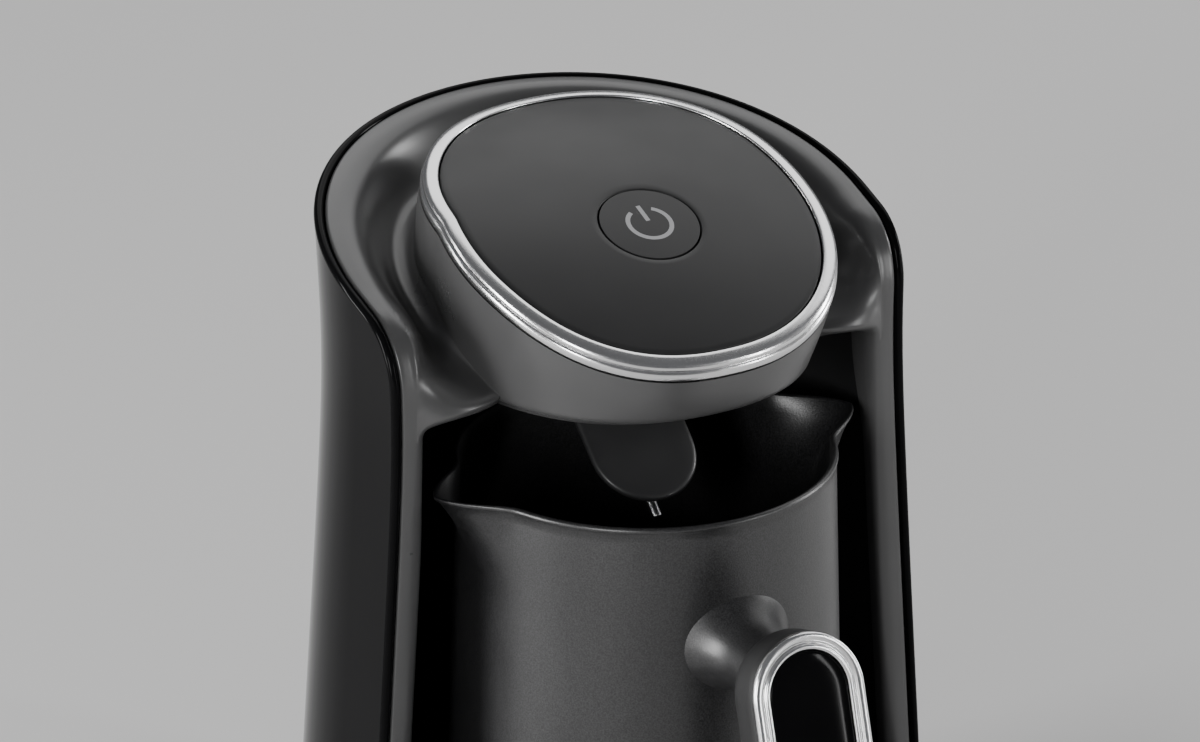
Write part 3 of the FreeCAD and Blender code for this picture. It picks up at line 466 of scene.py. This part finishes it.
def wall_column(angle, y, top, bottom, inset, count):
    """Points down the wrap from a height to its foot."""
    column = []
    for j in range(count + 1):
        z = mix(top, bottom, j / count)
        column.append(tuple(wall_point(angle, y, z, inset)))
    return column


def edge_resample(points, count):
    """Evenly spaced points along a vertical polyline."""
    top, low = points[0], points[-1]
    result = []
    for j in range(count + 1):
        z = mix(top[2], low[2], j / count)
        result.append((half_width(z) - (half_width(top[2]) - top[0]), top[1], z))
    return result


# Head outlines

def egg(angle, offset):
    """Point of the egg outline about the button; angle 0 is the right, a quarter turn the back."""
    c, s = math.cos(angle), math.sin(angle)
    length = (PLATE_BACK if s > 0 else PLATE_FRONT) + offset
    x = (PLATE_HALF + offset) * math.copysign(abs(c) ** (2 / PLATE_POWER), c)
    y = PLATE_SHIFT + length * math.copysign(abs(s) ** (2 / PLATE_POWER), s)
    shoulder = math.exp(-((y - SHOULDER_Y) / SHOULDER_REACH) ** 2)
    waist = math.exp(-((y - WAIST_Y) / SHOULDER_REACH) ** 2)
    strength = SHOULDER_LEFT if c < 0 else SHOULDER_RIGHT
    return x + math.copysign(strength * (shoulder - waist), c), y


def dome(x, y, lift):
    """Height of the head's domed surface in the head's frame."""
    sag = DOME_WIDTH_R - math.sqrt(DOME_WIDTH_R ** 2 - x * x)
    radius = DOME_LENGTH_R + lift - sag
    return -DOME_LENGTH_R + math.sqrt(radius * radius - y * y)


def head(x, y, w):
    """Point about the pot's axis from the head's own tilted frame."""
    c, s = math.cos(HEAD_TILT), math.sin(HEAD_TILT)
    return (x, HEAD_Y + y * c - w * s, HEAD_Z + y * s + w * c)


def even_angles(count):
    """Angles that space points of the egg outline evenly."""
    fine = [2 * math.pi * i / (count * 16) for i in range(count * 16 + 1)]
    lengths = [0.0]
    for a, b in zip(fine, fine[1:]):
        (x0, y0), (x1, y1) = egg(a, 0), egg(b, 0)
        lengths.append(lengths[-1] + math.hypot(x1 - x0, y1 - y0))
    angles = []
    j = 0
    for i in range(count):
        target = lengths[-1] * i / count
        while lengths[j + 1] < target:
            j += 1
        t = (target - lengths[j]) / (lengths[j + 1] - lengths[j])
        angles.append(mix(fine[j], fine[j + 1], t))
    return angles


RING_ANGLES = even_angles(160)


def build_ring():
    """Chrome band: flat bright top, rounded shoulder, dark groove and a lower band."""
    profile = [(0.12, -2.2), (0.10, -0.05), (0.22, 0.30), (0.55, 0.48), (1.3, 0.55), (2.3, 0.53),
               (3.0, 0.40), (3.42, 0.12), (3.62, -0.3), (3.66, -0.7), (3.5, -0.92), (2.7, -1.0),
               (2.7, -1.38), (3.55, -1.46), (3.82, -1.75), (3.95, -2.2), (3.98, -3.0), (3.9, -3.55),
               (3.6, -3.95), (0.6, -4.0), (0.5, -3.4), (0.5, -2.6)]
    rows = []
    for angle in RING_ANGLES:
        row = []
        for offset, lift in profile:
            x, y = egg(angle, offset)
            row.append(head(x, y, dome(x, y, lift)))
        rows.append(row)
    return loft("chrome_band", rows, "appliance", chrome, wrap_rows=True, wrap_columns=True,
                node="chrome_ring", slot="chrome")


def build_plate():
    """Glossy domed plate with softened edges round the rim and the button."""
    rows = []
    rounds = 22
    inner = BUTTON_R + BUTTON_GAP
    for angle in RING_ANGLES:
        ex, ey = egg(angle, -0.22)
        theta = math.atan2(ey, ex)
        ix, iy = inner * math.cos(theta), inner * math.sin(theta)
        row = [(ix, iy, -1.2), (ix, iy, -0.35), (mix(ix, ex, 0.004), mix(iy, ey, 0.004), -0.12)]
        for k in range(rounds + 1):
            t = 0.012 + 0.979 * k / rounds
            row.append((mix(ix, ex, t), mix(iy, ey, t), 0.0))
        row += [(mix(ix, ex, 0.998), mix(iy, ey, 0.998), -0.12), (ex, ey, -0.4), (ex, ey, -PLATE_T),
                (ix, iy, -PLATE_T)]
        rows.append([head(x, y, dome(x, y, lift)) for x, y, lift in row])
    return loft("top_plate_skin", rows, "appliance", plate_grey, wrap_rows=True, wrap_columns=True,
                node="top_plate", slot="gloss_grey")


def wall_of_head(angle, z, offset):
    """Point on the head's side wall at a height."""
    x, y = egg(angle, offset)
    w = (z - HEAD_Z - y * math.sin(HEAD_TILT)) / math.cos(HEAD_TILT)
    return Vector(head(x, y, w))


def wall_top(angle):
    """Top of the head's side wall, under the ring."""
    x, y = egg(angle, RING_WIDTH - 0.15)
    return Vector(head(x, y, dome(x, y, RING_LOW)))


def wall_offset(z, top):
    """The head's side draws in a little towards its foot."""
    return mix(RING_WIDTH - 0.2, RING_WIDTH - 2.4, smooth((top - z) / 26.0))


def outward(angle, z, offset):
    """Horizontal direction away from the head's side wall."""
    step = wall_of_head(angle, z, offset + 1) - wall_of_head(angle, z, offset)
    step.z = 0
    return step.normalized()


def foot_place(angle):
    """Foot of the valley against the head: its height, wall offset and place."""
    top = wall_top(angle)
    floor = VALLEY_BACK_Z
    for _ in range(SETTLE_ROUNDS):
        offset = wall_offset(floor, top.z)
        foot = wall_of_head(angle, floor, offset)
        share = (foot.y - ARM_FRONT_Y) / (VALLEY_BACK_Y - ARM_FRONT_Y)
        floor = mix(VALLEY_FRONT_Z, VALLEY_BACK_Z, min(max(share, 0.0), 1.0) ** VALLEY_SAG)
    return floor, offset, foot


def valley_row(start, into, past, share, corner):
    """Section from the strip across the valley to a short rise up the head's wall."""
    angle = mix(math.pi / 2, VALLEY_FRONT_ANGLE, share)
    floor, offset, foot = foot_place(angle)
    away = outward(angle, floor, offset)
    soft = mix(FOOT_ROUND, 0.6, corner)
    near = foot + away * soft
    span = (near - start).length
    roll = into * span * 0.40 - past * span * 0.03
    lead = start + roll * (1 - corner) + Vector((0, 0, CORNER_RISE)) * corner
    reach = mix(span * 0.30, CORNER_RUN, corner)
    dip = Vector((0, 0, -VALLEY_DIP)) * (1 - corner) * smooth(share * 2)
    control = [tuple(v) for v in (start, lead, near + away * reach + dip, near)]
    row = [Vector(bezier(control, k / VALLEY_STEPS)) for k in range(1, VALLEY_STEPS + 1)]
    for k in range(1, FOOT_STEPS + 1):
        t = math.pi / 2 * k / FOOT_STEPS
        z = floor + soft * (1 - math.cos(t))
        wall = wall_of_head(angle, z, wall_offset(z, wall_top(angle).z) + 0.02)
        row.append(wall + away * soft * (1 - math.sin(t)))
    return row


def lip_rows(edge, shares):
    """Rolled edge of the opening; share 1 is the deep roll over the bay, 0 the arms' bevel."""
    rows = []
    inside = Vector((PLATE_HALF, ARM_FRONT_Y, POT_RIM_Z))
    for i, (origin, share) in enumerate(zip(edge, shares)):
        before, after = edge[max(i - 1, 0)], edge[min(i + 1, len(edge) - 1)]
        along = (after - before).normalized()
        drop = Vector((along.z, 0, -along.x)).normalized()
        if drop.dot(inside - origin) < 0:
            drop = -drop
        width = mix(BEVEL_W, LIP_DROP, share)
        depth = mix(BEVEL_DEPTH, LIP_DEPTH, share)
        bias = mix(0.3, 0.0, share)
        row = [origin]
        for k in range(1, 9):
            t = math.pi / 2 * k / 8
            back = mix(1 - math.cos(t), k / 8, bias)
            row.append(origin + drop * width * math.sin(t) + Vector((0, depth * back, 0)))
        row.append(row[-1] + drop * 0.1 + Vector((0, 0.35, 0)))
        row.append(row[-1] + Vector((0, mix(2.0, 3.0, share), 0)))
        rows.append([tuple(p) for p in row])
    return rows


def build_front_shell():
    """Satin moulding: strip along the free edge, valleys, arms and the head's side wall."""
    line = edge_line(BASE_TOP_Z + 0.2)
    frames = edge_frames(line, SHELL_INSET)
    rim_count = len(rim_line())
    valley_end = rim_count + CORNER_REACH
    corner_start = rim_count - 1 - CORNER_STEPS
    strip = [(0.0, -4.0), (0.0, -0.7), (0.12, -0.3), (0.35, -0.08), (0.8, 0.0)]
    strip += [(mix(0.8, STRIP_W, k / 4), 0.0) for k in range(1, 4)] + [(STRIP_W, -0.05)]
    travel = [0.0]
    for (p, _, _), (q, _, _) in zip(frames, frames[1:]):
        travel.append(travel[-1] + (q - p).length)
    valley, arms, edge, shares = [], [], [], []
    for i, (origin, into, past) in enumerate(frames):
        base = origin - past * JOIN_GAP
        row = [base + into * d + past * h for d, h in strip]
        if i <= valley_end:
            share = travel[i] / travel[valley_end]
            corner = smooth((i - corner_start) / (valley_end - corner_start))
            section = valley_row(row[-1], into, past, share, corner)
            valley.append([tuple(p) for p in row + section])
            if i == valley_end:
                top_edge = list(reversed(section[:VALLEY_STEPS])) + [row[-1]]
                edge += top_edge
                shares += [1.0] * len(top_edge)
        if i >= valley_end:
            arms.append([tuple(p) for p in row])
        if i > valley_end:
            edge.append(row[-1])
            shares.append(1 - smooth((edge[len(top_edge) - 1].z - row[-1].z) / LIP_FADE))
    points, faces = [], []
    both = mirrored(valley)
    faces += grid_faces(len(both), len(both[0]), len(points))
    points += [p for row in both for p in row]
    for rows in (arms, lip_rows(edge, shares)):
        for side in (1, -1):
            faces += grid_faces(len(rows), len(rows[0]), len(points))
            points += [(side * x, y, z) for row in rows for x, y, z in row]
    wall = head_wall_rows()
    faces += grid_faces(len(wall), len(wall[0]), len(points), wrap_rows=True)
    points += [p for row in wall for p in row]
    return new_object("front_shell_skin", points, faces, "appliance", satin_grey,
                      node="front_shell", slot="satin_grey")


def head_wall_rows():
    """Closed band from the ring down to the valleys' feet or the rounded lower edge."""
    rows = []
    steps = 12
    for angle in RING_ANGLES:
        top = wall_top(angle)
        low = BAY_TOP_Z
        soft = HEAD_EDGE
        row = []
        for k in range(steps + 1):
            z = mix(top.z, low + soft, k / steps)
            row.append(tuple(top if k == 0 else wall_of_head(angle, z, wall_offset(z, top.z))))
        for k in range(1, FOOT_STEPS + 1):
            t = math.pi / 2 * k / FOOT_STEPS
            z = low + soft * (1 - math.sin(t))
            offset = wall_offset(low + soft, top.z) - soft * (1 - math.cos(t))
            row.append(tuple(wall_of_head(angle, z, offset)))
        inner = wall_of_head(angle, low, wall_offset(low + soft, top.z) - soft - 1.5)
        row.append(tuple(inner))
        rows.append(row)
    return rows


# Pot

def pot_radius(theta, z, base):
    """Pot wall radius with the two pouring lips."""
    u = min(abs(math.remainder(theta, math.pi)) / SPOUT_SPREAD, 1.0)
    lean = (math.cos(math.pi * u) + 1) / 2
    lip = mix(lean, max(1 - u * 1.25, 0.0) ** 1.2, 0.35) ** 1.15
    rise = max((z - (POT_RIM_Z - SPOUT_DEPTH)) / SPOUT_DEPTH, 0.0) ** 1.9
    return base + (SPOUT_REACH - POT_RIM_R) * lip * rise


def build_pot():
    """Thin pot with a rolled rim and two pouring lips."""
    corner = POT_CORNER
    dish = POT_LOW_Z + 0.6
    profile = [(0.0, dish), (POT_BASE_R - 9, dish), (POT_BASE_R - 7, POT_LOW_Z)]
    for k in range(7):
        t = math.pi / 2 * k / 6
        profile.append((POT_BASE_R - corner + corner * math.sin(t),
                        POT_LOW_Z + corner * (1 - math.cos(t))))
    low = POT_LOW_Z + corner
    high = POT_RIM_Z - 1.7
    for k in range(1, 41):
        t = k / 40
        profile.append((mix(POT_BASE_R, POT_RIM_R - 0.45, t), mix(low, high, t)))
    bead = POT_BEAD_R
    for k in range(9):
        t = math.pi * (k / 8) - 0.5
        profile.append((POT_RIM_R - bead + bead * math.cos(t), POT_RIM_Z - bead + bead * math.sin(t)))
    inner_low = POT_LOW_Z + POT_FLOOR
    for k in range(1, 31):
        t = k / 30
        profile.append((mix(POT_RIM_R - POT_WALL, POT_BASE_R - POT_WALL, t),
                        mix(POT_RIM_Z - 1.9, inner_low + corner, t)))
    for k in range(1, 6):
        t = math.pi / 2 * k / 5
        profile.append((POT_BASE_R - POT_WALL - corner * (1 - math.cos(t)),
                        inner_low + corner * (1 - math.sin(t))))
    profile.append((0.0, inner_low))
    rows = []
    for i in range(POT_COLUMNS):
        theta = 2 * math.pi * i / POT_COLUMNS
        row = []
        for base, z in profile:
            radius = pot_radius(theta, z, base) if base > 20 else base
            row.append((radius * math.cos(theta), radius * math.sin(theta), z))
        rows.append(row)
    return loft("pot_wall", rows, "pot", pot_coat, wrap_rows=True, node="pot_body",
                slot="pot_coating")


def build_neck():
    """Flared neck that swells out of the pot's wall and meets the grip."""
    grip_y = HANDLE_TOP_Y - (HANDLE_TOP_Z - NECK_Z) * math.tan(HANDLE_LEAN)
    end_y = grip_y + HANDLE_T - 2.0
    count = 72
    rings = 26
    rows = []
    for k in range(rings + 1):
        t = k / rings
        y = mix(-POT_RIM_R + 4.5, end_y, t)
        flare = (1 - min(t / 0.62, 1.0)) ** 2.2
        half_x = mix(9.0, 18.5, flare) + 1.2 * smooth((t - 0.8) / 0.2)
        half_z = mix(8.0, 16.0, flare) + 1.4 * smooth((t - 0.8) / 0.2)
        sink = -1.5 * smooth(t)
        row = []
        for i in range(count):
            a = 2 * math.pi * i / count
            x, z = half_x * math.cos(a), half_z * math.sin(a)
            limit = POT_RIM_R - 1.0
            back = limit - math.sqrt(max(limit * limit - x * x, 0.0))
            row.append((x, y + back * (1 - min(t / 0.5, 1.0)), NECK_Z + z + sink))
        rows.append(row)
    return loft("handle_neck_skin", rows, "pot", pot_coat, wrap_columns=True, caps=True,
                node="handle_neck", slot="pot_coating")


def handle(x, s, n):
    """Point about the pot's axis from the handle's frame: across, up the grip, out of its face."""
    c, k = math.cos(HANDLE_LEAN), math.sin(HANDLE_LEAN)
    return (x, HANDLE_TOP_Y + s * k - n * c, HANDLE_TOP_Z + s * c + n * k)


def stadium(inset, count=36, straight=12):
    """Outline of a bar with round ends, inset from the grip's outline; s runs down from 0."""
    radius = HANDLE_W / 2 - inset
    top = -HANDLE_W / 2
    low = -HANDLE_L + HANDLE_W / 2
    points = []
    for i in range(count + 1):
        a = math.pi * i / count
        points.append((radius * math.cos(a), top + radius * math.sin(a)))
    points += [(-radius, mix(top, low, i / straight)) for i in range(1, straight)]
    for i in range(count + 1):
        a = math.pi + math.pi * i / count
        points.append((radius * math.cos(a), low + radius * math.sin(a)))
    points += [(radius, mix(low, top, i / straight)) for i in range(1, straight)]
    return points


def bar(name, profile, material, node, slot, caps):
    """Solid swept round the stadium outline from a profile of (inset, height)."""
    rows = [[handle(x, s, height) for x, s in stadium(inset)] for inset, height in profile]
    return loft(name, rows, "pot", material, wrap_rows=not caps, wrap_columns=True, caps=caps,
                node=node, slot=slot)


def build_handle():
    """Grip, polished racetrack frame and glossy panel."""
    back = -HANDLE_T
    round_r = GRIP_ROUND
    grip = [(round_r + 3.0, back + 0.02), (round_r, back + 0.05)]
    for k in range(1, 8):
        t = math.pi / 2 * k / 7
        grip.append((round_r * (1 - math.sin(t)), back + round_r * (1 - math.cos(t))))
    grip += [(0.0, -4.0), (0.0, TRIM_SEAT - 0.5), (0.25, TRIM_SEAT - 0.05), (3.5, TRIM_SEAT - 0.05)]
    bar("handle_grip_skin", grip, matt_black, "handle_grip", "matt_black", True)
    proud = TRIM_PROUD
    frame_profile = [(0.15, TRIM_SEAT), (0.0, TRIM_SEAT + 0.3), (0.0, proud - 0.8), (0.18, proud - 0.3),
                     (0.55, proud - 0.06), (1.0, proud), (1.7, proud - 0.03), (2.0, proud - 0.25),
                     (2.15, proud - 0.75), (2.75, proud - 0.75), (2.9, proud - 0.35),
                     (3.2, proud - 0.1), (3.7, proud - 0.08), (4.0, proud - 0.3),
                     (TRIM_W - 0.05, proud - 0.8), (TRIM_W - 0.05, TRIM_SEAT)]
    bar("handle_trim_skin", frame_profile, chrome, "handle_trim", "chrome", False)
    panel = [(TRIM_W, TRIM_SEAT), (TRIM_W, proud - 1.0), (TRIM_W + 0.25, proud - 0.62),
             (TRIM_W + 0.8, proud - 0.45), (TRIM_W + 3.0, proud - 0.2), (TRIM_W + 6.0, proud - 0.05),
             (TRIM_W + 9.0, proud)]
    bar("handle_panel_skin", panel, gloss_black, "handle_insert", "gloss_black", True)


# Sensor flap

def build_flap():
    """Round-ended strip with softened edges that slants into the pot's mouth."""
    c, k = math.cos(FLAP_ANGLE), math.sin(FLAP_ANGLE)
    half = FLAP_WIDTH / 2
    length = (BAY_TOP_Z - FLAP_TIP[1]) / k - 0.6

    def outline(inset):
        radius = half - inset
        points = [(radius, length)]
        points += [(radius, mix(length, half, i / 10)) for i in range(1, 10)]
        points += [(radius * math.cos(-math.pi * i / 28), half + radius * math.sin(-math.pi * i / 28))
                   for i in range(29)]
        points += [(-radius, mix(half, length, i / 10)) for i in range(1, 11)]
        return points

    soft = FLAP_EDGE
    profile = [(4.0, 0.0), (1.4, 0.0), (0.7, -0.06), (0.2, -0.28), (0.0, -soft),
               (0.0, -FLAP_T + soft), (0.2, -FLAP_T + 0.28), (0.7, -FLAP_T + 0.06), (1.4, -FLAP_T)]
    rows = []
    for inset, height in profile:
        row = []
        for x, s in outline(inset):
            bow = FLAP_BOW * (1 - (x / half) ** 2)
            n = height + bow
            row.append((x, FLAP_TIP[0] + s * c - n * k, FLAP_TIP[1] + s * k + n * c))
        rows.append(row)
    return loft("sensor_flap_skin", rows, "appliance", flap_rubber, wrap_columns=True, caps=True,
                node="sensor_flap", slot="flap_rubber")


# Base

def base_outline(inset, z, count=44):
    """Right half of the base from the back's middle to the front's middle."""
    half = half_width(z)
    rear = half - SHELL_INSET - inset
    points = []
    for i in range(count + 1):
        a = math.pi / 2 * i / count
        points.append((rear * math.sin(a), TOWER_CENTRE_Y + rear * math.cos(a)))
    split = ARM_FRONT_Y - JOIN_GAP
    points += [(rear, mix(TOWER_CENTRE_Y, split - inset, i / 6)) for i in range(1, 7)]
    wide = half - inset
    deep = BASE_FRONT - inset
    start = math.asin(min((JOIN_GAP + inset) / deep, 1.0))
    for i in range(count + 1):
        a = mix(start, math.pi / 2, i / count)
        points.append((wide * math.cos(a), ARM_FRONT_Y - deep * math.sin(a)))
    return points


def build_base():
    """Base under the pot with a rounded deck edge and a shallow step round the heater."""
    soft = BASE_EDGE
    top = BASE_TOP_Z
    profile = [(0.6, HOUSING_LOW_Z), (0.0, HOUSING_LOW_Z + 0.6)]
    profile += [(0.0, mix(HOUSING_LOW_Z + 0.6, top - soft, k / 10)) for k in range(1, 11)]
    for k in range(1, 8):
        t = math.pi / 2 * k / 7
        profile.append((soft * (1 - math.cos(t)), top - soft + soft * math.sin(t)))
    rows = []
    for inset, z in profile:
        right = base_outline(inset, z)
        ring = [(x, y, z) for x, y in right] + [(-x, y, z) for x, y in reversed(right[1:-1])]
        rows.append(ring)
    outer = rows[-1]
    hole = []
    for x, y, _ in outer:
        a = math.atan2(y, x)
        hole.append((math.cos(a), math.sin(a)))
    inner_r = HEATER_R + HEATER_GAP
    for share in (0.25, 0.5, 0.75, 0.93):
        rows.append([(mix(x, (inner_r + 3) * cx, share), mix(y, (inner_r + 3) * cy, share), top)
                     for (x, y, _), (cx, cy) in zip(outer, hole)])
    for radius, z in ((inner_r + 2.2, top), (inner_r + 1.8, top - 0.25), (inner_r + 1.5, top - 0.8),
                      (inner_r + 0.3, top - 0.9), (inner_r, top - 1.2), (inner_r, top - 2.6)):
        rows.append([(radius * cx, radius * cy, z) for cx, cy in hole])
    return loft("base_housing_skin", rows, "appliance", matt_black, wrap_columns=True,
                node="base_housing", slot="matt_black")


# Carried-over construction nodes and their finishes

CAD_FINISH = {
    "bay_liner": matt_black,
    "head_underside_cover": matt_black,
    "head_screws": steel,
    "power_button": plate_grey,
    "power_symbol": pale_print,
    "button_guide": matt_black,
    "button_spring": steel,
    "tact_switch": matt_black,
    "control_board": board_green,
    "board_posts": matt_black,
    "indicator_light": light_pipe,
    "buzzer": matt_black,
    "sensor_probe": steel,
    "sensor_holder": matt_black,
    "base_plate": matt_black,
    "rubber_feet": foot_rubber,
    "base_screws": steel,
    "heater_plate": heater_metal,
    "heating_element": heater_metal,
    "thermostat": matt_black,
    "heater_bracket": steel,
    "main_board": board_green,
    "board_standoffs": matt_black,
    "power_components": matt_black,
    "cord_gland": foot_rubber,
    "wire_loom": foot_rubber,
    "handle_screw": steel,
}


def finish_nodes():
    """Give every carried-over node its material."""
    for name, material in CAD_FINISH.items():
        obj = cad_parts[name]
        obj.data.materials.clear()
        obj.data.materials.append(material)


# Camera, seen from the front's left, and stage

AZIMUTH = math.radians(-29.0)
ELEVATION = math.radians(23.6)
DISTANCE = 2200.0
SENSOR_WIDTH = 36.0
PHOTO_WIDTH = 1200
PIXELS_PER_MM = 4.30
PHOTO_HEIGHT = 742
BUTTON_PIXEL_X = 649.9
BUTTON_PIXEL_Y = 222.7


def camera_axes():
    """Directions to the camera, to the picture's right and up."""
    toward = Vector((math.sin(AZIMUTH) * math.cos(ELEVATION), -math.cos(AZIMUTH) * math.cos(ELEVATION),
                     math.sin(ELEVATION)))
    right = Vector((math.cos(AZIMUTH), math.sin(AZIMUTH), 0))
    return toward, right, toward.cross(right)


def build_camera():
    """Camera at the photograph's viewing angle, distance and framing."""
    toward, right, up = camera_axes()
    centre = place(0, HEAD_Y, HEAD_Z)
    across = (BUTTON_PIXEL_X - PHOTO_WIDTH / 2) / PIXELS_PER_MM
    above = (PHOTO_HEIGHT / 2 - BUTTON_PIXEL_Y) / PIXELS_PER_MM
    offset = right * across + up * above
    data = bpy.data.cameras.new("camera")
    data.sensor_width = SENSOR_WIDTH
    data.lens = PIXELS_PER_MM * DISTANCE / PHOTO_WIDTH * data.sensor_width
    data.clip_end = 20.0
    camera = bpy.data.objects.new("camera", data)
    camera.location = centre + (toward * DISTANCE - offset) * MM
    camera.rotation_euler = toward.to_track_quat("Z", "Y").to_euler()
    bpy.context.scene.collection.objects.link(camera)
    bpy.context.scene.camera = camera


def area_light(name, direction, distance, size, power, aim=(0, 0, 0.12)):
    """Rectangular soft light that faces the object."""
    data = bpy.data.lights.new(name, "AREA")
    data.shape = "RECTANGLE"
    data.size, data.size_y = size
    data.energy = power
    light = bpy.data.objects.new(name, data)
    heading = Vector(direction).normalized()
    light.location = Vector(aim) + heading * distance
    light.rotation_euler = heading.to_track_quat("Z", "Y").to_euler()
    bpy.context.scene.collection.objects.link(light)


def build_stage():
    """Pale floor, soft world and six studio lights."""
    mesh = bpy.data.meshes.new("floor")
    reach = 6.0
    mesh.from_pydata([(-reach, -reach, 0), (reach, -reach, 0), (reach, reach, 0), (-reach, reach, 0)],
                     [], [(0, 1, 2, 3)])
    floor = bpy.data.objects.new("floor", mesh)
    floor.location.z = -0.0002
    mesh.materials.append(shader("floor", (0.76, 0.755, 0.75), 0.7)[0])
    bpy.context.scene.collection.objects.link(floor)
    world = bpy.data.worlds.new("world")
    world.use_nodes = True
    world.node_tree.nodes["Background"].inputs["Color"].default_value = (0.95, 0.96, 1.0, 1)
    world.node_tree.nodes["Background"].inputs["Strength"].default_value = 0.12
    bpy.context.scene.world = world
    area_light("top_softbox", (0.55, 0.55, 0.8), 1.7, (2.0, 1.2), 12)
    area_light("left_softbox", (-1.0, 0.10, 0.14), 1.5, (0.40, 0.9), 24)
    area_light("right_softbox", (1.0, -0.16, 0.20), 1.5, (0.22, 0.9), 12)
    area_light("front_right_strip", (0.60, -0.80, 0.12), 1.7, (0.10, 0.9), 7)
    area_light("front_left_fill", (-0.80, -0.66, 0.26), 2.0, (0.35, 0.8), 20)
    area_light("rear_left_strip", (-0.8, 0.75, 0.1), 1.5, (0.1, 1.2), 6)


build_camera()
build_stage()
finish_nodes()
build_outer_shell()
build_front_shell()
build_ring()
build_plate()
build_pot()
build_neck()
build_handle()
build_flap()
build_base()
